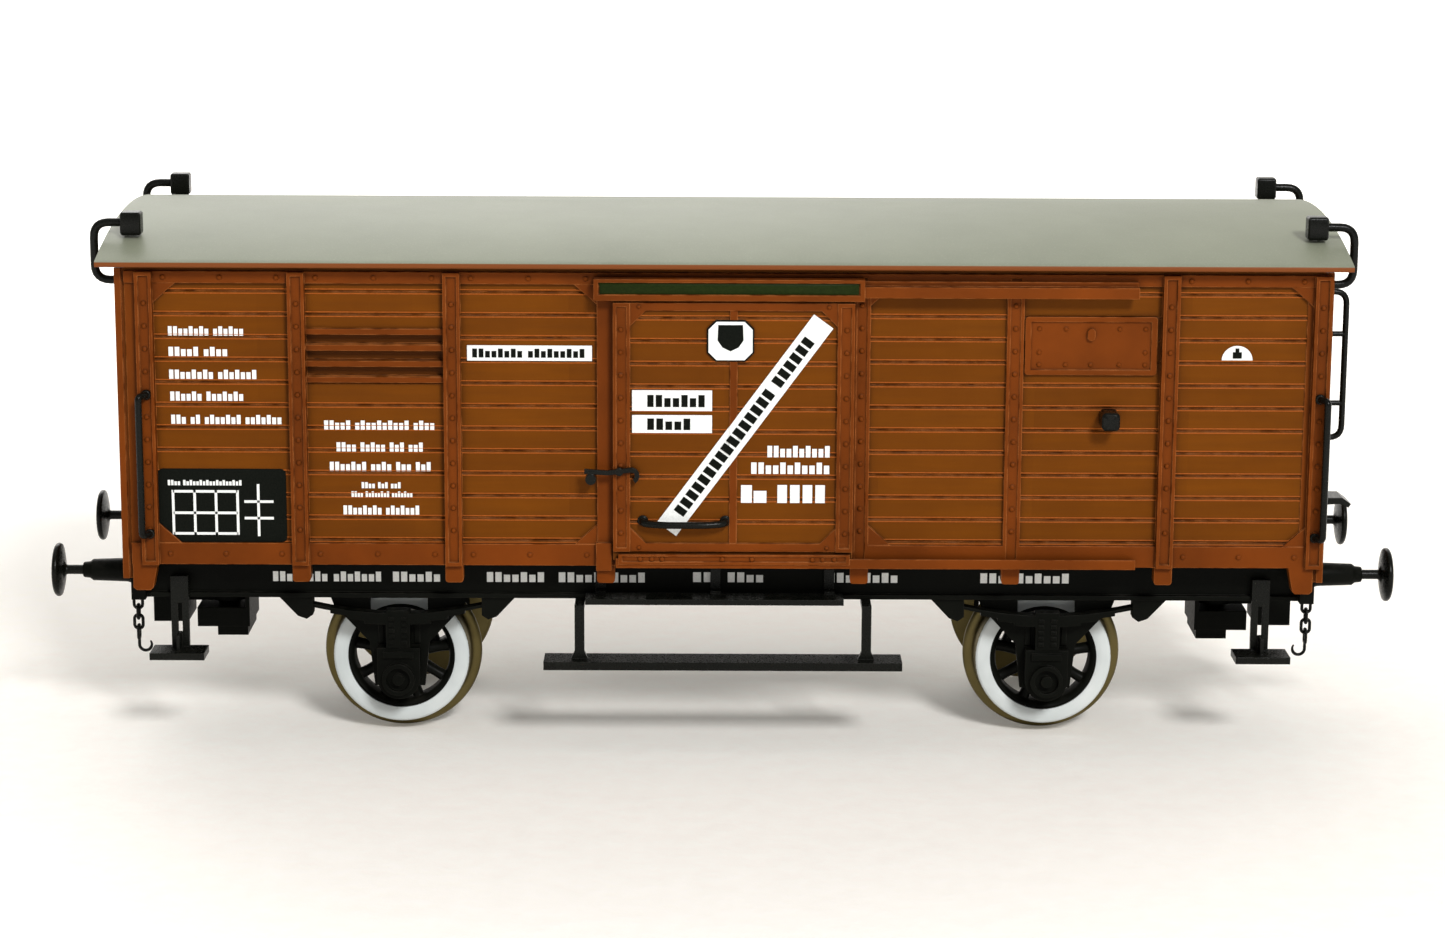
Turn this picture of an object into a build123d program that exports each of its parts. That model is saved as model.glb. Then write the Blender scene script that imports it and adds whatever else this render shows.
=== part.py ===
"""Two-axle covered goods wagon, an H0 scale model with sliding doors, sprung buffers and spoked wheels.

Millimetres. X runs along the wagon, Y across it, Z up. The origin is on the ground under the wagon's centre,
where the wheel flanges stand. The side at -Y is the near side, and the wagon's doors slide to a viewer's right
on either side.
"""

import os
from math import cos, radians, sin

from build123d import *

os.makedirs("parts", exist_ok=True)

# ---------------------------------------------------------------- driving dimensions
SCALE = 87.0  # one eighty-seventh of the full-size wagon
WHEELBASE = 4500 / SCALE
LENGTH_OVER_BUFFERS = 9300 / SCALE
BUFFER_SPACING = 1750 / SCALE
NEAR, FAR = -1, 1  # sign of Y on each side

# wheelsets, to 16.5 mm gauge
TREAD_R = 5.5
FLANGE_R = 6.35
TYRE_BORE_R = 4.3
WHEEL_BACK = 7.25
WHEEL_FACE = 10.0
AXLE_R = 1.0
JOURNAL_R = 0.75
JOURNAL_START = 10.2
AXLE_TIP = 12.1
AXLE_Z = FLANGE_R
SPOKES = 9
AXLE_X = WHEELBASE / 2

# body
BODY_END = 46.2  # outside of the end boards
FRAME_END = 46.7  # outside of the headstocks
CORNER_END = 46.95  # outside of the corner angles
WALL_Y = 16.1
WALL = 1.1
BODY_BOTTOM = 15.4
WALL_TOP = 38.9
BAY_SHIFT = 0.72  # the side framing sits this far towards +X on the frame
POSTS = (-45.4, -33.7, -21.75, -9.9, 9.9, 21.75, 33.7, 45.4)
BEHIND_DOOR = (9.9, 21.75)  # posts that the open door passes
DOOR_JAMB = -9.9  # the post that the closed door meets
POST_WIDTH = 1.3
POST_DEPTH = 0.8
LOW_DEPTH = 0.35
JAMB_DEPTH = 0.45
PLANK_FIRST = 17.34
PLANK_PITCH = 1.782
PLANKS = 12
GROOVE_WIDTH = 0.2
GROOVE_DEPTH = 0.13
TOP_RAIL = (37.6, 38.5)
BOTTOM_RAIL = (BODY_BOTTOM, 17.1)
FOOT_BOTTOM = 14.0
CORNER_FOOT_BOTTOM = 13.3
FOOT_WIDTH = 1.4
FOOT_END = 46.15

# roof, a shallow arch
ROOF_END = 48.15
ROOF_Y = 17.9
ROOF_THICK = 0.45
EAVE_UNDER = 38.95
ROOF_RISE = 2.4

# doors
DOOR_HALF = 9.3
DOOR_BACK = 16.65
DOOR_BOARD = 0.55
DOOR_FRAME = 0.33
DOOR_Z = (16.05, 36.95)
DOOR_TRIM_Z = (16.78, 36.35)
DOOR_TRAVEL = 18.9
TRACK_LIP = (17.35, 17.75)
HOOD = (-10.77, 10.03)
TRACK_START = -9.1
TRACK_END = (31.35, 31.1)  # of the trough and of the top rail

# underframe
SOLE_WEB = (12.4, 12.9)
SOLE_FLANGE = 13.4
SOLE_BOTTOM = 12.0
HEADSTOCK = (45.6, FRAME_END)
FLOOR_TOP = 16.2
BALLAST_TOP = 17.0
BOARD_TOP = 17.35
BUFFER_Z = 13.4
BUFFER_TRAVEL = 0.9

# axle guards
GUARD_Y = (10.95, 11.5)
BOX_Y = 13.3
BOX_CENTRE = 5.2
BOX_R = 1.7
CUP_R = 1.05

# coupler pockets
COUPLER_PIVOT = 41.0
POCKET_BACK = 44.15
POCKET_FRONT = 47.0


def block(x0, x1, y0, y1, z0, z1, mode=Mode.ADD):
    """A box between two corners, added to or cut from the part being built."""
    with Locations(((x0 + x1) / 2, (y0 + y1) / 2, (z0 + z1) / 2)):
        Box(abs(x1 - x0), abs(y1 - y0), abs(z1 - z0), mode=mode)


def side_x(side, rel):
    """Where a point lies that a viewer of that side sees rel to the right of the door's middle."""
    return BAY_SHIFT - side * rel


def wall_plane(side, y):
    """A plane on a side wall, its X along the wagon and its Y up, facing outwards at distance y."""
    return Plane(origin=(0, side * y, 0), x_dir=(-side, 0, 0), z_dir=(0, side, 0))


def axle_plane(x):
    """The plane across the wagon through an axle, its X along the axle and its Y up."""
    return Plane(origin=(x, 0, AXLE_Z), x_dir=(0, 1, 0), z_dir=(1, 0, 0))


def axle_axis(x):
    return Axis((x, 0, AXLE_Z), (0, 1, 0))


def write(piece, name):
    piece.label = name
    export_step(piece, f"parts/{name}.step")


def plank_heights():
    return [PLANK_FIRST + PLANK_PITCH * k for k in range(PLANKS)]


def groove(across, z):
    """A plank joint's V outline at height z on the face at `across`, in the current line."""
    inward = -GROOVE_DEPTH if across > 0 else GROOVE_DEPTH
    outward = -inward
    half = GROOVE_WIDTH / 2
    Polyline(
        (across + outward, z - 2 * half),
        (across + inward, z),
        (across + outward, z + 2 * half),
        (across + outward, z - 2 * half),
    )


def channel_post(side, x, z0, z1, depth, back=WALL_Y, width=POST_WIDTH):
    """An upright of channel section, with its web between two flanges."""
    web = 0.2 if depth > 0.5 else 0.12
    block(x - width / 2, x + width / 2, side * (back - 0.05), side * (back + depth), z0, z1)
    block(
        x - width / 2 + 0.25,
        x + width / 2 - 0.25,
        side * (back + depth - web),
        side * (back + depth + 0.1),
        z0 + 0.3,
        z1 - 0.3,
        mode=Mode.SUBTRACT,
    )


def gusset(side, x, z, to_right, up, leg=1.6, depth=0.3, back=WALL_Y):
    """A three-cornered plate in the angle between a post and a rail."""
    right = leg if to_right else -leg
    rise = leg if up else -leg
    with BuildSketch(wall_plane(side, back - 0.05)) as plate:
        with BuildLine():
            u = -side * x
            Polyline((u, z), (u + right, z), (u, z + rise), (u, z))
        make_face()
    extrude(plate.sketch, amount=depth + 0.05)


# ---------------------------------------------------------------- body shell
ROOF_UNDER_CROWN = EAVE_UNDER + ROOF_RISE

with BuildPart() as body_shell:
    with BuildSketch(Plane.YZ) as end_outline:
        with BuildLine():
            Polyline((WALL_Y, WALL_TOP), (WALL_Y, BODY_BOTTOM), (-WALL_Y, BODY_BOTTOM), (-WALL_Y, WALL_TOP))
            Line((-WALL_Y, WALL_TOP), (-WALL_Y, EAVE_UNDER + 0.38))
            ThreePointArc((-WALL_Y, EAVE_UNDER + 0.38), (0, ROOF_UNDER_CROWN - 0.02), (WALL_Y, EAVE_UNDER + 0.38))
            Line((WALL_Y, EAVE_UNDER + 0.38), (WALL_Y, WALL_TOP))
        make_face()
    extrude(amount=BODY_END, both=True)
    inner_end = BODY_END - WALL
    inner_y = WALL_Y - WALL
    block(-inner_end, inner_end, -inner_y, inner_y, BODY_BOTTOM - 1, 45, mode=Mode.SUBTRACT)
    block(-inner_end, inner_end, -20, 20, WALL_TOP, 45, mode=Mode.SUBTRACT)

    # plank joints on the sides and on the ends
    with BuildSketch(Plane.YZ):
        for height in plank_heights():
            for face in (-WALL_Y, WALL_Y):
                with BuildLine():
                    groove(face, height)
                make_face()
    extrude(amount=BODY_END + 1, both=True, mode=Mode.SUBTRACT)
    with BuildSketch(Plane.XZ):
        for height in plank_heights():
            for face in (-BODY_END, BODY_END):
                with BuildLine():
                    groove(face, height)
                make_face()
    extrude(amount=WALL_Y + 1, both=True, mode=Mode.SUBTRACT)

    for side in (NEAR, FAR):
        run = BAY_SHIFT * -side  # the door's middle, in the wall sketch's own X
        shallow = [run + rel for rel in BEHIND_DOOR]
        deep = [run + rel for rel in POSTS if rel not in BEHIND_DOOR and rel != DOOR_JAMB]
        jamb = run + DOOR_JAMB

        # rails along the top and bottom, and the low uprights that the open door passes
        with BuildSketch(wall_plane(side, WALL_Y - 0.05)):
            for low, high in (TOP_RAIL, BOTTOM_RAIL):
                with Locations((0, (low + high) / 2)):
                    Rectangle(2 * BODY_END, high - low)
            with Locations(*[(u, (BODY_BOTTOM + TOP_RAIL[1]) / 2) for u in shallow]):
                Rectangle(POST_WIDTH, TOP_RAIL[1] - BODY_BOTTOM)
        extrude(amount=LOW_DEPTH + 0.05)

        # the deep uprights, the plain jamb that the closed door meets, and all their feet
        with BuildSketch(wall_plane(side, WALL_Y - 0.05)):
            with Locations(*[(u, (BODY_BOTTOM + TOP_RAIL[1]) / 2) for u in deep]):
                Rectangle(POST_WIDTH, TOP_RAIL[1] - BODY_BOTTOM)
        extrude(amount=POST_DEPTH + 0.05)
        with BuildSketch(wall_plane(side, WALL_Y - 0.05)):
            with Locations((jamb, (17.2 + 36.5) / 2)):
                Rectangle(POST_WIDTH, 36.5 - 17.2)
        extrude(amount=JAMB_DEPTH + 0.05)
        with BuildSketch(wall_plane(side, WALL_Y - 0.9)):
            with Locations(*[(run + rel, (FOOT_BOTTOM + BODY_BOTTOM + 0.2) / 2) for rel in POSTS[1:-1]]):
                RectangleRounded(FOOT_WIDTH, BODY_BOTTOM + 0.2 - FOOT_BOTTOM, 0.25)
        extrude(amount=1.2)
        with BuildSketch(wall_plane(side, WALL_Y - 0.05)):
            with Locations((jamb - 0.15, (BODY_BOTTOM - 0.3 + 17.3) / 2)):
                Rectangle(1.2, 17.3 - BODY_BOTTOM + 0.3)
        extrude(amount=POST_DEPTH + 0.05)

        # the hollow of each upright's channel
        for group, depth, web in ((deep, POST_DEPTH, 0.2), (shallow, LOW_DEPTH, 0.12)):
            with BuildSketch(wall_plane(side, WALL_Y + depth - web)):
                with Locations(*[(u, (BODY_BOTTOM + TOP_RAIL[1]) / 2) for u in group]):
                    Rectangle(POST_WIDTH - 0.5, TOP_RAIL[1] - BODY_BOTTOM - 0.6)
            extrude(amount=1, mode=Mode.SUBTRACT)

        # gussets at the ends and beside the doorway
        with BuildSketch(wall_plane(side, WALL_Y - 0.05)):
            for rel, hand in ((POSTS[0], 1), (POSTS[-1], -1), (POSTS[3], -1), (POSTS[4], 1)):
                u = run + rel + hand * (POST_WIDTH / 2 - 0.02)
                for z, rise in ((BOTTOM_RAIL[1] - 0.02, 1.6), (TOP_RAIL[0] + 0.02, -1.6)):
                    with BuildLine():
                        Polyline((u, z), (u + hand * 1.8, z), (u, z + rise), (u, z))
                    make_face()
        extrude(amount=0.35)

        # vent slots between four lips, in the second bay
        vent = run - 27.75
        with BuildSketch(wall_plane(side, WALL_Y - 0.2)):
            with Locations(*[(vent, 30.07 + 1.255 * k) for k in range(4)]):
                Rectangle(10.9, 0.44)
        extrude(amount=0.48)
        with BuildSketch(wall_plane(side, WALL_Y - 0.45)):
            with Locations(*[(vent, 30.70 + 1.255 * k) for k in range(3)]):
                Rectangle(10.6, 0.68)
        extrude(amount=0.65, mode=Mode.SUBTRACT)

        # the doorway
        with BuildSketch(wall_plane(side, WALL_Y - 2)):
            with Locations((run, (BOARD_TOP + 0.1 + 36.1) / 2)):
                Rectangle(18.0, 36.1 - BOARD_TOP - 0.1)
        extrude(amount=4, mode=Mode.SUBTRACT)

    # corner feet, tapering down to the headstock ends
    for side in (NEAR, FAR):
        for end in (-1, 1):
            with BuildSketch(wall_plane(side, WALL_Y - 0.8)):
                u = -side * end
                with BuildLine():
                    Polyline(
                        (u * FOOT_END, BODY_BOTTOM + 0.3),
                        (u * FOOT_END, CORNER_FOOT_BOTTOM + 0.2),
                        (u * (FOOT_END - 0.25), CORNER_FOOT_BOTTOM),
                        (u * (FOOT_END - 1.35), CORNER_FOOT_BOTTOM),
                        (u * (FOOT_END - 1.55), CORNER_FOOT_BOTTOM + 0.2),
                        (u * (FOOT_END - 2.0), BODY_BOTTOM + 0.3),
                        (u * FOOT_END, BODY_BOTTOM + 0.3),
                    )
                make_face()
            extrude(amount=1.15)

    # end framing: corner angles, two uprights, a sill and a head rail on each end
    for end in (-1, 1):
        for side in (NEAR, FAR):
            block(end * (BODY_END - 0.1), end * (CORNER_END - 0.45), side * 15.0, side * 16.1, 14.2, 38.7)
            block(end * (CORNER_END - 0.5), end * CORNER_END, side * 15.0, side * 16.3, 14.2, 38.7)
            block(end * (BODY_END - 1.2), end * BODY_END, side * 15.9, side * (WALL_Y + 0.12), 15.6, 38.4)
        for y in (-5.4, 5.4):
            block(end * (BODY_END - 0.1), end * (BODY_END + 0.7), y - 0.7, y + 0.7, 15.6, 40.2)
            block(
                end * (BODY_END + 0.5),
                end * (BODY_END + 1.0),
                y - 0.42,
                y + 0.42,
                15.9,
                39.9,
                mode=Mode.SUBTRACT,
            )
        block(end * (BODY_END - 0.1), end * (BODY_END + 0.4), -15.6, 15.6, 15.4, 17.0)
        block(end * (BODY_END - 0.1), end * (BODY_END + 0.4), -15.6, 15.6, 37.7, 38.6)
write(body_shell.part, "body_shell")

# ---------------------------------------------------------------- roof
with BuildPart() as roof:
    with BuildSketch(Plane.YZ):
        with BuildLine():
            top = EAVE_UNDER + ROOF_THICK
            ThreePointArc((-ROOF_Y, top), (0, top + ROOF_RISE), (ROOF_Y, top))
            Line((ROOF_Y, top), (ROOF_Y, EAVE_UNDER))
            ThreePointArc((ROOF_Y, EAVE_UNDER), (0, ROOF_UNDER_CROWN), (-ROOF_Y, EAVE_UNDER))
            Line((-ROOF_Y, EAVE_UNDER), (-ROOF_Y, top))
        make_face()
    extrude(amount=ROOF_END, both=True)
    # clips that grip the inside of the side walls
    for x in (-36, -14, 14, 36):
        for side in (NEAR, FAR):
            block(x - 2, x + 2, side * 14.1, side * 14.9, 37.4, 39.9)
write(roof.part, "roof")

# ---------------------------------------------------------------- floor pieces
INNER_END = BODY_END - WALL - 0.1
INNER_Y = WALL_Y - WALL - 0.1
SCREW_X = 9.0
SCREW_R = 0.8

with BuildPart() as ballast_plate:
    block(-INNER_END, INNER_END, -INNER_Y, INNER_Y, FLOOR_TOP, BALLAST_TOP)
    with Locations((-SCREW_X, 0, BALLAST_TOP), (SCREW_X, 0, BALLAST_TOP)):
        Hole(SCREW_R)
write(ballast_plate.part, "ballast_plate")

with BuildPart() as floor_board:
    block(-INNER_END, INNER_END, -INNER_Y, INNER_Y, BALLAST_TOP, BOARD_TOP)
    board_count = 30
    for k in range(1, board_count):
        x = -INNER_END + 2 * INNER_END * k / board_count
        block(x - 0.07, x + 0.07, -INNER_Y - 1, INNER_Y + 1, BOARD_TOP - 0.12, BOARD_TOP + 0.1, mode=Mode.SUBTRACT)
write(floor_board.part, "floor_board")

# ---------------------------------------------------------------- underframe
with BuildPart() as underframe:
    block(-INNER_END, INNER_END, -INNER_Y, INNER_Y, BODY_BOTTOM, FLOOR_TOP)
    for side in (NEAR, FAR):
        with BuildSketch(Plane.YZ):
            with BuildLine():
                web_in, web_out = side * SOLE_WEB[0], side * SOLE_WEB[1]
                flange = side * SOLE_FLANGE
                Polyline(
                    (web_in, BODY_BOTTOM),
                    (web_in, SOLE_BOTTOM),
                    (flange, SOLE_BOTTOM),
                    (flange, SOLE_BOTTOM + 0.35),
                    (web_out, SOLE_BOTTOM + 0.35),
                    (web_out, BODY_BOTTOM - 0.35),
                    (flange, BODY_BOTTOM - 0.35),
                    (flange, BODY_BOTTOM),
                    (web_in, BODY_BOTTOM),
                )
            make_face()
        extrude(amount=HEADSTOCK[0] + 0.1, both=True)
    for end in (-1, 1):
        block(end * HEADSTOCK[0], end * HEADSTOCK[1], -14.4, 14.4, SOLE_BOTTOM, BODY_BOTTOM)
        block(end * 33.6, end * 34.3, -12.5, 12.5, 12.6, BODY_BOTTOM + 0.1)
        block(end * 13.7, end * 14.4, -12.5, 12.5, 12.6, BODY_BOTTOM + 0.1)
    for y in (-3.6, 3.6):
        block(-38.6, 38.6, y - 0.3, y + 0.3, 13.3, BODY_BOTTOM + 0.1)
    with Locations((-SCREW_X, 0, FLOOR_TOP), (SCREW_X, 0, FLOOR_TOP)):
        Hole(SCREW_R)
write(underframe.part, "underframe")

with BuildPart() as frame_screws:
    for x in (-SCREW_X, SCREW_X):
        with BuildSketch(Plane.XY.offset(BODY_BOTTOM - 0.9)):
            with Locations((x, 0)):
                Circle(1.5)
                Rectangle(2.2, 0.35, mode=Mode.SUBTRACT)
        extrude(amount=0.45)
        with BuildSketch(Plane.XY.offset(BODY_BOTTOM - 0.45)):
            with Locations((x, 0)):
                Circle(1.5)
        extrude(amount=0.45)
        with BuildSketch(Plane.XY.offset(BODY_BOTTOM)):
            with Locations((x, 0)):
                Circle(SCREW_R - 0.02)
        extrude(amount=BALLAST_TOP - BODY_BOTTOM)
write(frame_screws.part, "frame_screws")

# ---------------------------------------------------------------- axle guards, boxes, springs and bearing cups
SPRING_Y = (11.75, 12.85)
SPRING_HALF = 6.7
SPRING_LEAVES = 4
LEAF = 0.23
SPRING_TOP = 10.55
SPRING_CAMBER = 0.75


def axle_guards(x):
    """The pair of flared guard plates that hold one wheelset's boxes."""
    with BuildPart() as guards:
        for side in (NEAR, FAR):
            with BuildSketch(wall_plane(side, GUARD_Y[0])):
                u = -side * x
                with BuildLine():
                    Polyline(
                        (u - 5.6, SOLE_BOTTOM),
                        (u - 5.2, 10.9),
                        (u - 2.4, 7.9),
                        (u - 2.0, 4.3),
                        (u + 2.0, 4.3),
                        (u + 2.4, 7.9),
                        (u + 5.2, 10.9),
                        (u + 5.6, SOLE_BOTTOM),
                        (u - 5.6, SOLE_BOTTOM),
                    )
                make_face()
                with Locations((u, AXLE_Z)):
                    Circle(CUP_R, mode=Mode.SUBTRACT)
                with Locations((u, 10.8)):
                    Rectangle(4.6, 1.4, mode=Mode.SUBTRACT)
            extrude(amount=GUARD_Y[1] - GUARD_Y[0])
            # the foot that screws behind the sole bar
            block(x - 5.6, x + 5.6, side * GUARD_Y[0], side * SOLE_WEB[0], SOLE_BOTTOM, SOLE_BOTTOM + 0.6)
            # stiffening ribs beside the spring buckle
            for dx in (-1.45, 1.45):
                block(x + dx - 0.2, x + dx + 0.2, side * (GUARD_Y[1] - 0.1), side * (GUARD_Y[1] + 0.2), 7.9, 9.6)
    return guards.part


def axle_boxes(x):
    """The pair of round-bottomed axle boxes, each with a ringed lid and a boss on its face."""
    with BuildPart() as boxes:
        for side in (NEAR, FAR):
            u = -side * x
            with BuildSketch(wall_plane(side, GUARD_Y[1])):
                with Locations((u, BOX_CENTRE)):
                    Circle(BOX_R)
                with Locations((u, (BOX_CENTRE + 7.7) / 2)):
                    Rectangle(2 * BOX_R, 7.7 - BOX_CENTRE)
            extrude(amount=12.8 - GUARD_Y[1])
            with BuildSketch(wall_plane(side, 12.7)):
                with Locations((u, BOX_CENTRE)):
                    Circle(1.3)
                    Circle(0.95, mode=Mode.SUBTRACT)
                    Circle(0.45)
            extrude(amount=BOX_Y - 12.7)
            with BuildSketch(wall_plane(side, 12.7)):
                with Locations((u, 7.2)):
                    Rectangle(2.4, 0.5)
            extrude(amount=0.4)
            with BuildSketch(wall_plane(side, GUARD_Y[1])):
                with Locations((-side * x, AXLE_Z)):
                    Circle(CUP_R)
            extrude(amount=12.5 - GUARD_Y[1], mode=Mode.SUBTRACT)
    return boxes.part


def leaf_springs(x):
    """The pair of laminated springs, curving up to their ends, each clasped by a buckle over its box."""
    with BuildPart() as springs:
        for side in (NEAR, FAR):
            with BuildSketch(wall_plane(side, SPRING_Y[0])):
                u = -side * x
                for k in range(SPRING_LEAVES):
                    half = SPRING_HALF - 1.35 * k
                    drop = LEAF * k
                    rise = SPRING_CAMBER * (half / SPRING_HALF) ** 2
                    top, low = SPRING_TOP - drop, SPRING_TOP - drop - LEAF
                    with BuildLine():
                        ThreePointArc((u - half, top + rise), (u, top), (u + half, top + rise))
                        Line((u + half, top + rise), (u + half, low + rise))
                        ThreePointArc((u + half, low + rise), (u, low), (u - half, low + rise))
                        Line((u - half, low + rise), (u - half, top + rise))
                    make_face()
                with Locations((u, (7.7 + SPRING_TOP + 0.25) / 2)):
                    Rectangle(1.9, SPRING_TOP + 0.25 - 7.7)
            extrude(amount=SPRING_Y[1] - SPRING_Y[0])
            # the buckle's two columns of ribs
            with BuildSketch(wall_plane(side, SPRING_Y[1] - 0.05)):
                with Locations(*[(u + dx, 8.2 + 0.48 * k) for dx in (-0.5, 0.5) for k in range(5)]):
                    Rectangle(0.42, 0.26)
            extrude(amount=0.2)
    return springs.part


def bearing_cups():
    """Four brass cups, each with a conical seat for an axle's point."""
    with BuildPart() as cups:
        for x in (-AXLE_X, AXLE_X):
            for side in (NEAR, FAR):
                with BuildSketch(axle_plane(x)):
                    with BuildLine():
                        Polyline(
                            (side * GUARD_Y[0], 0.8),
                            (side * 11.35, 0.8),
                            (side * 12.2, 0.1),
                            (side * 12.2, 0),
                            (side * 12.5, 0),
                            (side * 12.5, CUP_R),
                            (side * GUARD_Y[0], CUP_R),
                            (side * GUARD_Y[0], 0.8),
                        )
                    make_face()
                revolve(axis=axle_axis(x))
    return cups.part


def spring_brackets():
    """Eight brackets under the sole bars, from which the spring ends hang."""
    with BuildPart() as brackets:
        for x in (-AXLE_X, AXLE_X):
            for side in (NEAR, FAR):
                for hand in (-1, 1):
                    with BuildSketch(wall_plane(side, SPRING_Y[0])):
                        u = -side * x
                        with BuildLine():
                            Polyline(
                                (u + hand * 9.4, SOLE_BOTTOM),
                                (u + hand * 7.9, 10.4),
                                (u + hand * 7.2, 10.15),
                                (u + hand * 6.7, 10.5),
                                (u + hand * 6.7, SOLE_BOTTOM),
                                (u + hand * 9.4, SOLE_BOTTOM),
                            )
                        make_face()
                    extrude(amount=SPRING_Y[1] - SPRING_Y[0] + 0.2)
    return brackets.part


for letter, axle_x in (("a", -AXLE_X), ("b", AXLE_X)):
    write(axle_guards(axle_x), f"axle_guards_{letter}")
    write(axle_boxes(axle_x), f"axle_boxes_{letter}")
    write(leaf_springs(axle_x), f"leaf_springs_{letter}")
write(bearing_cups(), "bearing_cups")
write(spring_brackets(), "spring_brackets")


# ---------------------------------------------------------------- wheelsets
def axle(x):
    """A turned axle with stepped journals and pointed tips."""
    with BuildPart() as shaft:
        with BuildSketch(axle_plane(x)):
            with BuildLine():
                Polyline(
                    (-AXLE_TIP, 0),
                    (-AXLE_TIP, 0.06),
                    (-11.3, JOURNAL_R),
                    (-JOURNAL_START, JOURNAL_R),
                    (-JOURNAL_START, AXLE_R),
                    (JOURNAL_START, AXLE_R),
                    (JOURNAL_START, JOURNAL_R),
                    (11.3, JOURNAL_R),
                    (AXLE_TIP, 0.06),
                    (AXLE_TIP, 0),
                    (-AXLE_TIP, 0),
                )
            make_face()
        revolve(axis=axle_axis(x))
    return shaft.part


def tyres(x):
    """Two steel tyres with coned treads and rounded flanges."""
    with BuildPart() as rings:
        for side in (NEAR, FAR):
            with BuildSketch(axle_plane(x)):
                with BuildLine():
                    Line((side * WHEEL_BACK, TYRE_BORE_R), (side * WHEEL_BACK, 5.95))
                    ThreePointArc((side * WHEEL_BACK, 5.95), (side * 7.62, FLANGE_R), (side * 7.98, 5.95))
                    ThreePointArc((side * 7.98, 5.95), (side * 8.08, 5.68), (side * 8.35, 5.56))
                    Polyline(
                        (side * 8.35, 5.56),
                        (side * 9.8, 5.48),
                        (side * WHEEL_FACE, 5.33),
                        (side * WHEEL_FACE, TYRE_BORE_R),
                        (side * WHEEL_BACK, TYRE_BORE_R),
                    )
                make_face()
            revolve(axis=axle_axis(x))
    return rings.part


def wheel_centres(x):
    """Two spoked centres, each a rim and a hub joined by tapering spokes."""
    hub_r, rim_in = 1.7, 3.8
    with BuildPart() as centres:
        for side in (NEAR, FAR):
            back = Plane(origin=(x, side * 7.6, AXLE_Z), x_dir=(1, 0, 0), z_dir=(0, side, 0))
            with BuildSketch(back):
                Circle(TYRE_BORE_R)
                Circle(rim_in, mode=Mode.SUBTRACT)
            extrude(amount=2.05)
            with BuildSketch(back):
                Circle(hub_r)
            extrude(amount=2.3)
            with BuildSketch(back.offset(0.45)):
                with PolarLocations(0, SPOKES):
                    with BuildLine():
                        Polyline(
                            (1.2, -0.5),
                            (rim_in + 0.1, -0.38),
                            (rim_in + 0.1, 0.38),
                            (1.2, 0.5),
                            (1.2, -0.5),
                        )
                    make_face()
            extrude(amount=1.15)
            with BuildSketch(back.offset(-1)):
                Circle(AXLE_R)
            extrude(amount=5, mode=Mode.SUBTRACT)
    return centres.part


for letter, axle_x in (("a", -AXLE_X), ("b", AXLE_X)):
    write(axle(axle_x), f"axle_{letter}")
    write(tyres(axle_x), f"tyres_{letter}")
    write(wheel_centres(axle_x), f"wheel_centres_{letter}")

# ---------------------------------------------------------------- buffers
SLEEVE_END = 51.2
SLEEVE_BORE = 0.56
SPRING_FLOOR = 47.5
SLEEVE_MOUTH = 0.42  # narrower than the bore, so that the plunger's collar can't leave
SHANK_R = 0.38
SPRING_SEAT = 49.65
HEAD_BACK = LENGTH_OVER_BUFFERS / 2 - 0.7
CORNERS = {
    "near_left": (-1, NEAR),
    "near_right": (1, NEAR),
    "far_left": (-1, FAR),
    "far_right": (1, FAR),
}


def buffer_plane(end, side):
    """A plane through a buffer's axis, its X outwards along the wagon and its Y up."""
    return Plane(origin=(0, side * BUFFER_SPACING / 2, BUFFER_Z), x_dir=(end, 0, 0), z_dir=(0, -end, 0))


def buffer_axis(side):
    return Axis((0, side * BUFFER_SPACING / 2, BUFFER_Z), (1, 0, 0))


with BuildPart() as buffer_sleeves:
    for end, side in CORNERS.values():
        y = side * BUFFER_SPACING / 2
        base = sorted((end * FRAME_END, end * (FRAME_END + 0.35)))
        block(base[0], base[1], y - 1.45, y + 1.45, BUFFER_Z - 1.35, BUFFER_Z + 1.35)
        with BuildSketch(buffer_plane(end, side)):
            with BuildLine():
                Polyline(
                    (FRAME_END + 0.3, 0),
                    (FRAME_END + 0.3, 1.1),
                    (FRAME_END + 1.0, 0.95),
                    (SLEEVE_END - 0.75, 0.85),
                    (SLEEVE_END - 0.55, 0.66),
                    (SLEEVE_END - 0.1, 0.62),
                    (SLEEVE_END, 0.56),
                    (SLEEVE_END, SLEEVE_MOUTH),
                    (SLEEVE_END - 0.8, SLEEVE_MOUTH),
                    (SLEEVE_END - 0.8, SLEEVE_BORE),
                    (SPRING_FLOOR, SLEEVE_BORE),
                    (SPRING_FLOOR, 0),
                    (FRAME_END + 0.3, 0),
                )
            make_face()
        revolve(axis=buffer_axis(side))
write(buffer_sleeves.part, "buffer_sleeves")


def buffer_head(end, side):
    """A buffer's head and plunger; its outer face is flat, with a rounded rim."""
    with BuildPart() as head:
        with BuildSketch(buffer_plane(end, side)):
            with BuildLine():
                Polyline(
                    (SPRING_SEAT, 0),
                    (SPRING_SEAT, 0.53),
                    (SPRING_SEAT + 0.5, 0.53),
                    (SPRING_SEAT + 0.6, SHANK_R),
                    (HEAD_BACK - 0.35, SHANK_R),
                    (HEAD_BACK, 0.85),
                    (HEAD_BACK + 0.2, 1.95),
                )
                ThreePointArc((HEAD_BACK + 0.2, 1.95), (HEAD_BACK + 0.42, 2.15), (HEAD_BACK + 0.64, 2.05))
                Polyline((HEAD_BACK + 0.64, 2.05), (HEAD_BACK + 0.7, 1.85), (HEAD_BACK + 0.7, 0), (SPRING_SEAT, 0))
            make_face()
        revolve(axis=buffer_axis(side))
    return head.part


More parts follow.
